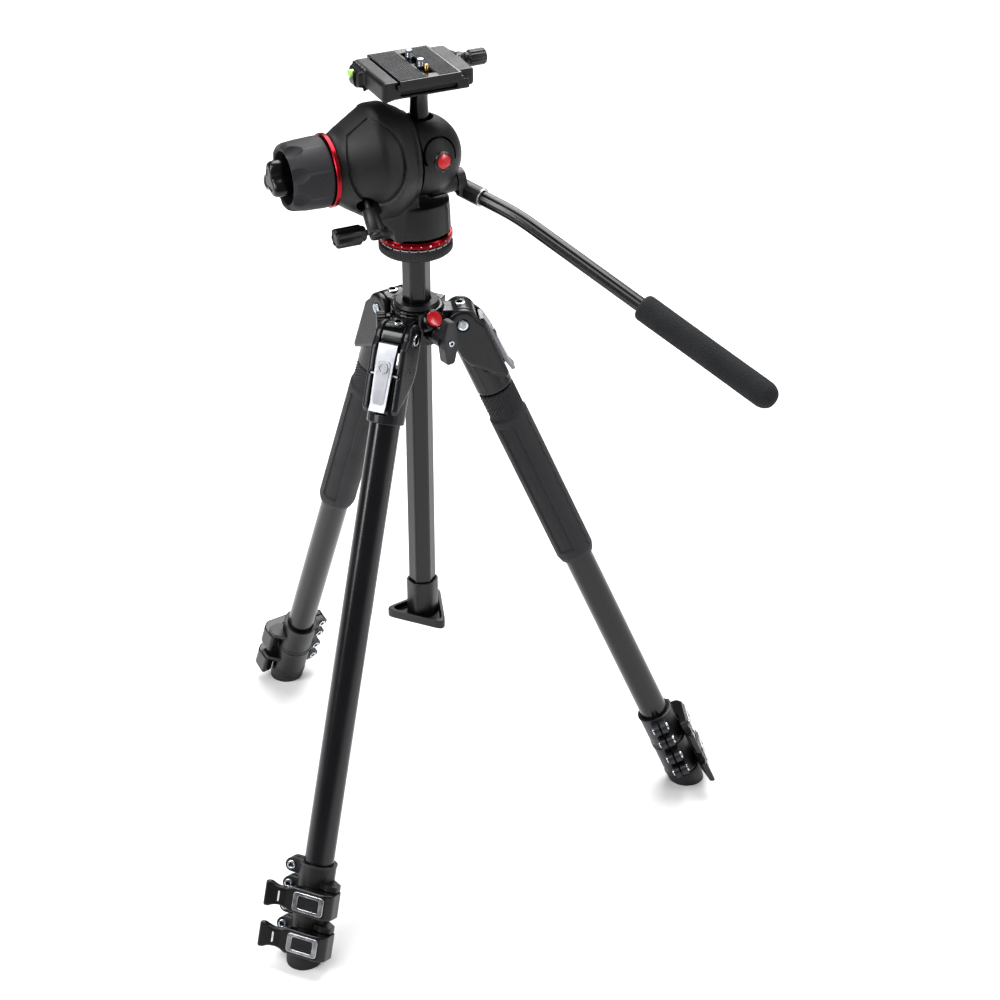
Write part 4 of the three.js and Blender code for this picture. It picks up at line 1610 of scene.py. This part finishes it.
@dataclass
class Head(HeadPart):
    """The half of the head that doesn't tilt: base ring, housing, rings and knobs."""

    pad_middle: tuple[float, float] = (-44.0, 80.0)
    pad_half: tuple[float, float] = (22.0, 33.0)
    index_dots: int = 24
    scallops: int = 8

    def base(self) -> None:
        """The red base ring, with index dots round its edge."""
        work = self.work()
        work.turned(
            [
                (0, 5.5),
                (5.3, 5.5),
                (5.3, 0),
                (27.6, 0),
                (28.2, 0.5),
                (29.6, 1.0),
                (29.95, 1.5),
                (29.95, 5.0),
                (29.4, 6.2),
                (28.4, 6.5),
                (0, 6.5),
            ],
            160,
        )
        ring = work.solid("base_ring_red")
        dress(ring, RED, "head_base", ["head_base_ring"], crease=28)
        dots = self.work()
        for index in range(self.index_dots):
            spin = Matrix.Rotation(TURN * index / self.index_dots, 4, "Z")
            radius = 0.9 if index % 6 == 0 else 0.45
            spot = spin @ Matrix.Translation((29.9, 0, 3.3)) @ Along.OUT.matrix()
            dots.turned(rod_profile(radius, -0.3, 0.06), 16, spot)
        dress(dots.solid("base_ring_dots"), LABEL, "head_base")

    def housing(self) -> None:
        """The cast housing: a bulb round the tilt axis that runs down into the base."""
        bulb = self.work()
        sections = [
            (72.0, 26.6),
            (71.4, 27.6),
            (67.0, 29.4),
            (62.0, 33.0),
            (41.0, 46.2),
            (37.0, 47.4),
            (26.0, 47.4),
            (22.5, 46.0),
            (12.0, 40.4),
            (9.0, 37.6),
            (5.5, 36.6),
        ]
        stations = [(height, Section(reach, reach * 0.86)) for height, reach in sections]
        bulb.lofted(stations, 128, self.tilt_axis(0, Along.IN))
        body = bulb.solid("housing_casting")
        drum = [(0, 6.9), (27.6, 6.9), (28.5, 7.8), (28.3, 18), (27.4, 34), (0, 34)]
        base = self.work().turned(drum, 128)
        skirt = self.work()
        outline = [
            (-26, 6.9),
            (-28.6, 18),
            (-40, 30),
            (-59, 46),
            (-59, 62),
            (-5.5, 66),
            (-5.5, 34),
            (19, 30),
            (20, 6.9),
        ]
        skirt.plate(outline, -22.5, 22.5, 0.0, moved(0, 0, 0, Along.RIGHTWARD))
        boss = self.work().lofted(
            [(20, Section(8.5)), (34, Section(7.4)), (41, Section(6.6)), (42, Section(5.9))],
            64,
            self.pan_lock_axis(),
        )
        parts = [base.solid("base"), skirt.solid("skirt"), boss.solid("boss")]
        combined(body, parts, Carve.JOIN)
        melted(body, voxel_mm=0.85, passes=7)
        self.press_pads(body)
        axis = self.tilt_axis(0, Along.IN)
        # The dome's side, the spindle's bore, both knobs' bores and the ball's room.
        cutters = [
            self.rod(36.0, -45, -self.housing_face - 0.1, axis),
            self.rod(8.4, -30, 80, axis),
            self.rod(2.9, 20, 100, self.pan_lock_axis()),
            self.rod(9.0, 28, 60, self.drag_axis()),
            self.ball_room(),
        ]
        combined(body, cutters, Carve.CUT)
        dress(body, HOUSING, "head_pan", ["head_housing"], crease=32)

    def pan_lock_axis(self) -> Matrix:
        """The pan lock's axis: out of the base, away from the dome."""
        return moved(0, -8, 15, Along.IN)

    def drag_axis(self) -> Matrix:
        """The drag knob's axis: out of the housing, down and towards the operator."""
        turn = Matrix.Rotation(math.radians(135), 4, "X")
        return Matrix.Translation((-50, 0, self.tilt_height)) @ turn

    def press_pads(self, body: bpy.types.Object) -> None:
        """Presses a flat oval pad into each side of the bulb, with a crisp step round it.

        Args:
            body: The housing, as one fine skin.
        """
        inverse = self.space.inverted()
        for vert in body.data.vertices:
            at = inverse @ vert.co
            across = (at.x - self.pad_middle[0]) / self.pad_half[0]
            up = (at.z - self.pad_middle[1]) / self.pad_half[1]
            reach = across * across + up * up
            flank, wall = 12, 0.1
            if abs(at.y) < flank or reach > 1:
                continue
            depth = (0.9 + 2.2 * reach) * min(1.0, (1 - reach) / wall)
            at.y -= math.copysign(depth, at.y)
            vert.co = self.space @ at

    def rings(self) -> None:
        """The red ring, the friction ring and the star knob, from the housing outwards."""
        axis = self.tilt_axis(0, Along.IN)
        red = self.work()
        red.turned(
            [(18, 72.4), (28.4, 72.4), (29.2, 73.0), (29.2, 75.8), (28.5, 76.35), (18, 76.35)],
            160,
            axis,
            closed=True,
        )
        band = red.solid("housing_red_ring")
        dress(band, RED, "head_pan", ["red_ring"], crease=28)
        grip = self.work()
        rubber = [(76.8, 25.6), (77.4, 27.2), (79.0, 28.1), (82.0, 28.2), (104.5, 27.3)]
        rubber += [(106.5, 26.6), (108.6, 25.6), (109.8, 24.2), (110, 22.6), (109.2, 21.0)]
        rubber += [(104, 20.4), (93, 20.2), (92.6, 18.0)]
        grip.lofted([(height, Section(reach)) for height, reach in rubber], 160, axis)
        ring = grip.solid("friction_ring_rubber")
        cutters = [self.rod(9, 60, 120, axis)]
        for index in range(self.scallops):
            spin = Matrix.Rotation(TURN * (index + 0.5) / self.scallops, 4, "Z")
            spot = axis @ spin @ Matrix.Translation((40.2, 0, 113))
            stretch = Matrix.Diagonal((1.0, 0.62, 1.25, 1.0))
            scallop = self.work().turned(sphere_arc(18.2, 32), 64, spot @ stretch)
            cutters.append(scallop.solid("scallop"))
        combined(ring, cutters, Carve.CUT)
        dress(ring, RUBBER, "friction_ring", ["friction_ring"], crease=24)
        star = self.work()
        star.lofted(
            [
                (41, Section(7.4)),
                (92, Section(7.5)),
                (97.4, Section(7.6)),
                (97.8, Section(11.5, lobes=3, hollow=4.0)),
                (99, Section(13.6, lobes=3, hollow=5.6)),
                (104, Section(15.6, lobes=3, hollow=7.0)),
                (116, Section(15.8, lobes=3, hollow=7.2)),
                (120, Section(15.2, lobes=3, hollow=7.0)),
                (121.4, Section(14.0, lobes=3, hollow=6.4)),
                (121.9, Section(12.2, lobes=3, hollow=5.6)),
                (121.9, Section(10.0, lobes=3, hollow=4.6)),
                (121.4, Section(9.4, lobes=3, hollow=4.4)),
            ],
            120,
            axis,
        )
        wings = star.solid("star_knob_lobed")
        dress(wings, GLOSS, "star_knob", ["star_knob"], crease=40)

    def knobs(self) -> None:
        """The pan lock and the drag knob."""
        lock = self.work()
        axis = self.pan_lock_axis()
        lobed = [
            (24.5, Section(2.4)),
            (46.8, Section(2.4)),
            (47.2, Section(5.6)),
            (48.4, Section(6.4)),
            (50.6, Section(6.6)),
            (51.2, Section(7.8, lobes=7, hollow=0.9)),
            (52.2, Section(8.4, lobes=7, hollow=1.6)),
            (70.6, Section(8.4, lobes=7, hollow=1.6)),
            (72.2, Section(7.7, lobes=7, hollow=1.4)),
            (72.9, Section(6.4, lobes=7, hollow=1.1)),
            (72.9, Section(5.2)),
            (72.3, Section(4.8)),
        ]
        lock.lofted(lobed, 112, axis)
        fluted = lock.solid("pan_lock_fluted")
        dress(fluted, MOULDED, "pan_lock_knob", ["pan_lock_knob"], crease=40)
        drag = self.work()
        barrel = [
            (29.2, Section(2.9)),
            (37.6, Section(2.9)),
            (38.2, Section(6.0)),
            (39.2, Section(6.5)),
            (56.5, Section(6.5)),
            (57.0, Section(6.1)),
            (57.8, Section(6.1)),
            (58.3, Section(6.5)),
            (60.6, Section(6.5)),
            (61.7, Section(5.9)),
            (62.0, Section(4.8)),
            (62.0, Section(3.4)),
            (61.2, Section(3.0)),
        ]
        drag.lofted(barrel, 80, self.drag_axis())
        barrelled = drag.solid("drag_knob_barrel")
        dress(barrelled, MOULDED, "drag_knob", ["drag_knob"], crease=40)

    def build(self) -> None:
        """Makes every piece of the fixed half."""
        self.base()
        self.housing()
        self.rings()
        self.knobs()


@dataclass
class TiltHead(HeadPart):
    """The half that tilts: the dome with the handle's lug, its badge, the ball and the stem."""

    dome_radius: float = 33.0
    badge_sunk: float = 1.4
    lug_y: float = -8.0
    lug_height: float = 46.0
    platform_bottom: float = 129.5

    def dome(self) -> None:
        """The dome, with the groove round its badge."""
        middle = moved(self.dome_x, 0, self.tilt_height, Along.OUT)
        arc = sphere_arc(self.dome_radius, 40)
        shell = self.work().turned(arc, 160, middle).solid("dome_casting")
        lug = self.work().lofted(
            [(8, Section(10.5)), (26, Section(9.4)), (30.4, Section(9.0)), (30.6, Section(8.6))],
            64,
            moved(0, self.lug_y, self.lug_height, Along.OUT),
        )
        combined(shell, [lug.solid("lug")], Carve.JOIN)
        melted(shell, voxel_mm=0.8, passes=5)
        away = self.work().plate(box_outline((-60, -60), (self.housing_face + 1, 60)), 0, 150)
        # The housing's side, the ball's room, a seat for the handle and a bore for the stem.
        cutters = [
            away.solid("away"),
            self.ball_room(),
            self.rod(17.8, 30.6, 60, moved(0, self.lug_y, self.lug_height, Along.OUT)),
            self.rod(11.2, 0, 50, moved(self.dome_x, 0, self.tilt_height)),
        ]
        groove = self.work()
        outward = self.badge_place()
        groove.turned(
            [(13.2, -9), (15.0, -9), (15.0, 4), (13.2, 4)],
            96,
            outward @ Matrix.Translation((-1.0, 4.5, 0)),
            closed=True,
        )
        trough = groove.solid("groove")
        lower = self.work().plate(box_outline((-40, -40), (40, -1)), -20, 20, matrix=outward)
        combined(trough, [lower.solid("lower")], Carve.CUT)
        combined(shell, cutters + [trough], Carve.CUT)
        dress(shell, HOUSING, "head_tilt", ["tilt_dome"], crease=32)

    def badge_place(self) -> Matrix:
        """Where the badge sits on the dome: z points out of it, y along the dome's upper side."""
        out = Vector((0.2, -0.97, 0.12)).normalized()
        up = Vector((0, 0, 1))
        side = up.cross(out).normalized()
        up = out.cross(side)
        turn = Matrix((side, up, out)).transposed().to_4x4()
        dome = Vector((self.dome_x, 0, self.tilt_height))
        middle = dome + out * (self.dome_radius - self.badge_sunk)
        return Matrix.Translation(middle) @ turn

    def badge(self) -> None:
        """A plain red badge in a black ring."""
        place = self.badge_place()
        socket = self.work()
        cup = [(0, -3), (8.6, -3), (8.6, 0.7), (7.9, 1.6), (6.4, 1.8), (6.0, 1.3), (0, 1.3)]
        socket.turned(cup, 72, place)
        dress(socket.solid("dome_badge_socket"), GLOSS, "head_tilt")
        badge = self.work()
        domed_badge(badge, 5.9, 0.9, place @ Matrix.Translation((0, 0, 1.2)))
        dress(badge.solid("dome_badge"), ENAMEL, "head_tilt")

    def stem(self) -> None:
        """The ball, and the stem that flares at both ends."""
        steps = 20
        radius = 20.2
        swept = 148
        profile = [(0.0, -radius)]
        for i in range(1, steps + 1):
            turn = math.radians(-90 + i * swept / steps)
            profile.append((radius * math.cos(turn), radius * math.sin(turn)))
        rise = self.platform_bottom - self.tilt_height
        profile += [(9.4, 19.4), (8.6, 22.5), (8.0, 27), (7.6, 34), (7.2, 42), (7.1, rise - 13)]
        profile += [(7.4, rise - 9), (8.4, rise - 5.5), (10.4, rise - 2.6)]
        profile += [(14.4, rise - 0.8), (16, rise), (0, rise)]
        work = self.work().turned(profile, 96, moved(self.dome_x, 0, self.tilt_height))
        dress(work.solid("stem_and_ball"), TUBE, "head_tilt", ["ball_stem"], crease=40)

    def build(self) -> None:
        """Makes every piece of the tilting half."""
        self.dome()
        self.badge()
        self.stem()


@dataclass
class Platform(HeadPart):
    """The quick-release platform: base, sliding plate, screws, knob, level and catch."""

    left: float = -32.0
    right: float = 35.0
    jaw_chamfer: float = 2.6
    slot_x: float = 3.7
    plate_top: float = 145.0
    pad_ribs: int = 13
    rib_gap: float = 0.36
    thread_pitch: float = 1.27

    def base_casting(self) -> None:
        """The channel, with its two jaws."""
        work = self.work().copied("quick_release_base")
        work.chamfered(lambda at: not self.left - 3 <= at.x <= self.right + 5, self.jaw_chamfer)
        piece = work.solid("platform_channel")
        slot = self.work()
        front = Along.RIGHTWARD.matrix()
        slot.plate(box_outline((-23, 132.0), (25, 135.6)), 27, 40, 1.2, front)
        combined(piece, [slot.solid("slot")], Carve.CUT)
        melted(piece, voxel_mm=0.55, passes=3)
        dress(piece, MOULDED, "head_tilt", ["quick_release_base"], crease=50)

    def sliding_plate(self) -> None:
        """The camera plate, its ribbed pads and its anti-twist pin."""
        node = "quick_release_plate"
        refined(self.space, node, "camera_plate_body", GLOSS, "camera_plate", bevel_mm=0.6)
        pads = self.work()
        for low, high in ((-22.6, -1.6), (9.0, 25.4)):
            pitch = (high - low) / self.pad_ribs
            for index in range(self.pad_ribs):
                start = low + pitch * index + self.rib_gap / 2
                outline = box_outline((start, -31), (start + pitch - self.rib_gap, 31))
                pads.plate(outline, self.plate_top - 0.4, self.plate_top + 0.35)
        dress(pads.solid("camera_plate_pads"), SOLE, "camera_plate", bevel_mm=0.15)
        profile = [(0, 144), (1.6, 144), (1.6, 149.6), (1.2, 150.2), (0, 150.2)]
        pin = self.work().turned(profile, 48, moved(self.slot_x, -19, 0))
        dress(pin.solid("anti_twist_pin"), BRASS, "camera_plate")

    def screws(self) -> None:
        """The camera screw, and a second one further along the slot."""
        main = self.work()
        self.threaded(main, -8)
        thread = main.solid("camera_screw_thread")
        dress(thread, STEEL, "camera_screw", ["camera_screw"], crease=40)
        spare = self.work()
        self.threaded(spare, 14)
        dress(spare.solid("spare_screw_thread"), STEEL, "camera_plate", crease=40)

    def threaded(self, work: Workpiece, y: float) -> None:
        """Adds one screw with a slotted flange and a quarter-inch thread.

        Args:
            work: The workpiece that gets it.
            y: Where it stands along the slot.
        """
        profile = [(0, 138.8), (7.1, 138.8), (7.3, 139.1), (7.3, 140.5), (7.0, 140.8)]
        profile += [(3.1, 140.9), (3.1, 145.4)]
        height = 145.4
        while height < 149.4:
            profile += [(3.1, height + 0.25), (3.1, height + 0.35), (2.5, height + 0.9)]
            height += self.thread_pitch
        profile += [(3.0, 150.3), (2.3, 151.0), (0, 151.0)]
        work.turned(profile, 48, moved(self.slot_x, y, 0))

    def release_knob(self) -> None:
        """The fluted release knob at the right-hand jaw."""
        work = self.work()
        axis = moved(0, 8, 138.5, Along.OUT)
        start = self.right + 12.4
        work.lofted(
            [
                (self.right + 0.2, Section(2.5)),
                (start - 0.1, Section(2.5)),
                (start + 0.1, Section(4.6)),
                (start + 1.0, Section(5.2)),
                (start + 3.4, Section(5.2)),
                (start + 4.2, Section(6.2, lobes=14, hollow=0.3)),
                (start + 5.0, Section(6.6, lobes=14, hollow=0.55)),
                (start + 16.6, Section(6.6, lobes=14, hollow=0.55)),
                (start + 17.6, Section(6.1, lobes=14, hollow=0.4)),
                (start + 17.95, Section(5.2)),
                (start + 17.95, Section(4.2)),
                (start + 17.4, Section(3.8)),
            ],
            112,
            axis,
        )
        fluted = work.solid("release_knob_fluted")
        dress(fluted, MOULDED, "release_knob", ["quick_release_knob"], crease=40)

    def level(self) -> None:
        """The bubble level in the left-hand jaw, in a small catch."""
        vial = self.work()
        profile = [(0, -4.2), (2.6, -4.2), (3.3, -3.6), (3.3, 4.2)]
        profile += [(2.9, 5.0), (1.8, 5.3), (0, 5.3)]
        vial.turned(profile, 64, moved(-40.2, 19, 137.5, Along.IN))
        dress(vial.solid("bubble_level"), SPIRIT, "head_tilt", crease=40)
        clip = self.work()
        catch = [(126.5, -1.6), (128.5, 1.2), (134.0, 2.4), (140.0, 1.6)]
        catch += [(140.0, -2.4), (134.0, -1.8)]
        clip.plate(catch, -5.0, 5.0, 0.8, moved(-41.4, 19, 0) @ self.upended())
        dress(clip.solid("release_catch"), MOULDED, "head_tilt", bevel_mm=0.6)

    def upended(self) -> Matrix:
        """A turn that takes +x to up and +y to the left, away from the platform."""
        axes = (Vector((0, 0, 1)), Vector((-1, 0, 0)), Vector((0, -1, 0)))
        return Matrix(axes).transposed().to_4x4()

    def build(self) -> None:
        """Makes every piece of the platform."""
        self.base_casting()
        self.sliding_plate()
        self.screws()
        self.release_knob()
        self.level()


@dataclass
class Handle(HeadPart):
    """The operator's handle: rosette and socket, bent bar and foam grip."""

    bar: float = 6.0
    sleeve_length: float = 20.0
    to_bend: float = 54.0
    bend_half: float = 16.0
    to_grip: float = 126.0
    inside_grip: float = 58.0
    grip_radius: float = 11.0
    grip_length: float = 130.0
    heading: tuple[float, float] = (0.507, -0.862)
    slopes: tuple[float, float] = (12.0, 22.0)
    start: tuple[float, float, float] = (38.6, -5.0, 37.0)

    def point(self, length: float) -> Vector:
        """A point at a length along the handle."""
        near = min(length, self.to_bend)
        far = max(0.0, length - self.to_bend)
        return Vector(self.start) + self.slope(0) * near + self.slope(1) * far

    def slope(self, stretch: int) -> Vector:
        """The direction of one of its two straight stretches."""
        fall = math.radians(self.slopes[stretch])
        x, y = self.heading
        return Vector((x * math.cos(fall), y * math.cos(fall), -math.sin(fall)))

    def place(self, length: float) -> Matrix:
        """A place on the handle, with +z running along it."""
        ahead = (self.point(length + 1) - self.point(length)).normalized()
        turn = ahead.to_track_quat("Z", "Y").to_matrix().to_4x4()
        return Matrix.Translation(self.point(length)) @ turn

    def socket(self) -> None:
        """The rosette, and the sleeve that the bar goes into."""
        node = "handle_socket"
        refined(self.space, node, "handle_elbow", MOULDED, "handle", bevel_mm=1.2)
        lip = self.work()
        length = self.sleeve_length
        profile = [(6.1, -0.6), (7.8, -0.6), (7.95, 0), (7.8, 0.9), (6.1, 1.1)]
        lip.turned(profile, 96, self.place(0) @ Matrix.Translation((0, 0, length)), closed=True)
        dress(lip.solid("handle_sleeve_lip"), BRUSHED, "handle")

    def bent_bar(self) -> None:
        """The bar, bent once, as sections along a smooth line."""
        work = self.work()
        total = self.to_bend + self.to_grip + self.inside_grip
        bend = self.bend_half
        stops = [5.5, 20, self.to_bend - bend]
        stops += [self.to_bend - bend + 2 * bend * i / 10 for i in range(1, 11)]
        stops += [self.to_bend + 40, self.to_bend + 80, total]
        loops = []
        for length in stops:
            nearness = max(0.0, 1 - abs(length - self.to_bend) / bend)
            share = 0.5 + 0.5 * max(-1.0, min(1.0, (length - self.to_bend) / bend))
            ahead = (self.slope(0) * (1 - share) + self.slope(1) * share).normalized()
            middle = self.point(length)
            sag = math.radians(self.slopes[1] - self.slopes[0]) * bend / 4 * nearness**2
            middle = middle + Vector((0, 0, -sag))
            made = bmesh.ops.create_circle(work.mesh, cap_ends=False, radius=self.bar, segments=64)
            turn = ahead.to_track_quat("Z", "Y").to_matrix().to_4x4()
            work.place(made["verts"], Matrix.Translation(middle) @ turn)
            loops.append(list({edge for vert in made["verts"] for edge in vert.link_edges}))
        for low, high in zip(loops, loops[1:]):
            bmesh.ops.bridge_loops(work.mesh, edges=low + high)
        for loop in (loops[0], loops[-1]):
            bmesh.ops.edgeloop_fill(work.mesh, edges=loop)
        dress(work.solid("handle_rod"), TUBE, "handle", ["handle_bar"])

    def foam(self) -> None:
        """The foam grip, pinched where it starts and round at its end."""
        length = self.grip_length
        profile = [(6.35, 0.8), (7.2, 0.0), (9.0, 0.3), (10.4, 1.6), (10.95, 3.6)]
        for i in range(11):
            waist = 0.12 * math.sin(math.pi * i / 10)
            profile.append((self.grip_radius - waist, 6 + (length - 22) * i / 10))
        cap = 12
        for i in range(1, cap):
            turn = math.pi / 2 * i / cap
            reach = self.grip_radius * math.cos(turn) ** 0.8
            profile.append((reach, length - cap + cap * math.sin(turn)))
        profile += [(0.0, length), (0.0, 60.0), (6.35, 60.0)]
        start = self.place(self.to_bend + self.to_grip)
        work = self.work().turned(profile, 96, start, closed=True)
        dress(work.solid("handle_foam"), FOAM, "handle", ["handle_grip"], crease=60)

    def build(self) -> None:
        """Makes every piece of the handle."""
        self.socket()
        self.bent_bar()
        self.foam()


# ---- The studio --------------------------------------------------------------------------------


@dataclass(frozen=True)
class Softbox:
    """One soft light that faces the tripod.

    Attributes:
        name: The light's name.
        degrees: Its direction, from the camera's.
        reach: Its distance from the tripod.
        height: Its height.
        size: Its width and height.
        power: Its power in watts.
    """

    name: str
    degrees: float
    reach: float
    height: float
    size: tuple[float, float]
    power: float


@dataclass
class Studio:
    """A pale floor, soft lights and the camera, set out round the tripod's axis."""

    azimuth: float = 25.7
    camera_reach: float = 1.737
    camera_height: float = 1.35
    lens: float = 85.1
    aim_right: float = 0.052
    aim_height: float = 0.352
    lit_height: float = 0.35
    surround: float = 0.22
    softboxes: tuple[Softbox, ...] = (
        Softbox("key_left", -62, 1.9, 1.5, (0.5, 2.0), 30),
        Softbox("fill_right", 70, 2.1, 1.3, (0.4, 2.0), 16),
        Softbox("top", 170, 0.9, 2.6, (1.8, 1.8), 62),
        Softbox("back_rim", 165, 2.6, 2.2, (1.6, 1.2), 34),
        Softbox("front_soft", -32, 1.5, 2.1, (1.0, 1.0), 11),
    )

    def turned_to_camera(self, degrees: float) -> Vector:
        """A level direction, measured from the camera's, to its right."""
        turn = math.radians(self.azimuth + degrees)
        return Vector((math.sin(turn), -math.cos(turn), 0))

    def floor(self) -> None:
        """A pale, matt floor."""
        mesh = bmesh.new()
        bmesh.ops.create_grid(mesh, x_segments=1, y_segments=1, size=20.0)
        bmesh.ops.translate(mesh, verts=mesh.verts, vec=(0, 0, CAD_BOX[0][2] - 0.0002))
        data = bpy.data.meshes.new("floor")
        mesh.to_mesh(data)
        mesh.free()
        floor = bpy.data.objects.new("floor", data)
        bpy.context.scene.collection.objects.link(floor)
        paper = bpy.data.materials.new("paper_backdrop")
        paper.use_nodes = True
        shader = paper.node_tree.nodes["Principled BSDF"]
        shader.inputs["Base Color"].default_value = linear("f4f4f4")
        shader.inputs["Roughness"].default_value = 0.9
        shader.inputs["Specular IOR Level"].default_value = 0.1
        data.materials.append(paper)

    def light(self, box: Softbox) -> None:
        """Adds one softbox.

        Args:
            box: Its name, place, size and power.
        """
        data = bpy.data.lights.new(box.name, "AREA")
        data.shape = "RECTANGLE"
        data.size, data.size_y = box.size
        data.energy = box.power
        light = bpy.data.objects.new(box.name, data)
        raised = Vector((0, 0, box.height))
        light.location = self.turned_to_camera(box.degrees) * box.reach + raised
        ahead = Vector((0, 0, self.lit_height)) - light.location
        light.rotation_euler = ahead.to_track_quat("-Z", "Y").to_euler()
        bpy.context.scene.collection.objects.link(light)

    def sky(self) -> None:
        """An even pale surround."""
        world = bpy.data.worlds.new("studio")
        bpy.context.scene.world = world
        world.use_nodes = True
        ground = world.node_tree.nodes["Background"]
        ground.inputs["Color"].default_value = (1, 1, 1, 1)
        ground.inputs["Strength"].default_value = self.surround

    def camera(self) -> None:
        """The camera, level with its own horizon and without shift."""
        data = bpy.data.cameras.new("camera")
        data.lens = self.lens
        data.sensor_width = 36.0
        data.clip_end = 50.0
        camera = bpy.data.objects.new("camera", data)
        middle = on_axis(self.camera_height)
        camera.location = middle + self.turned_to_camera(0) * self.camera_reach
        aim = self.turned_to_camera(90) * self.aim_right + Vector((0, 0, self.aim_height))
        ahead = aim - camera.location
        camera.rotation_euler = ahead.to_track_quat("-Z", "Y").to_euler()
        bpy.context.scene.collection.objects.link(camera)
        bpy.context.scene.camera = camera

    def build(self) -> None:
        """Sets out the whole studio."""
        self.floor()
        self.sky()
        for box in self.softboxes:
            self.light(box)
        self.camera()


def main() -> None:
    """Builds the object and its studio."""
    logging.basicConfig(level=logging.INFO, format="%(name)s: %(message)s")
    # The plain transform keeps the black parts deep and the floor white.
    bpy.context.scene.view_settings.view_transform = "Standard"
    bpy.context.scene.view_settings.look = "Medium High Contrast"
    Studio().build()
    assemblies = [Leg(side) for side in Side]
    assemblies += [Spider(), Column(), Head(), TiltHead(), Platform(), Handle()]
    for assembly in assemblies:
        LOG.info("building %s", type(assembly).__name__)
        assembly.build()
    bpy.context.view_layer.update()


if __name__ == "__main__":
    main()
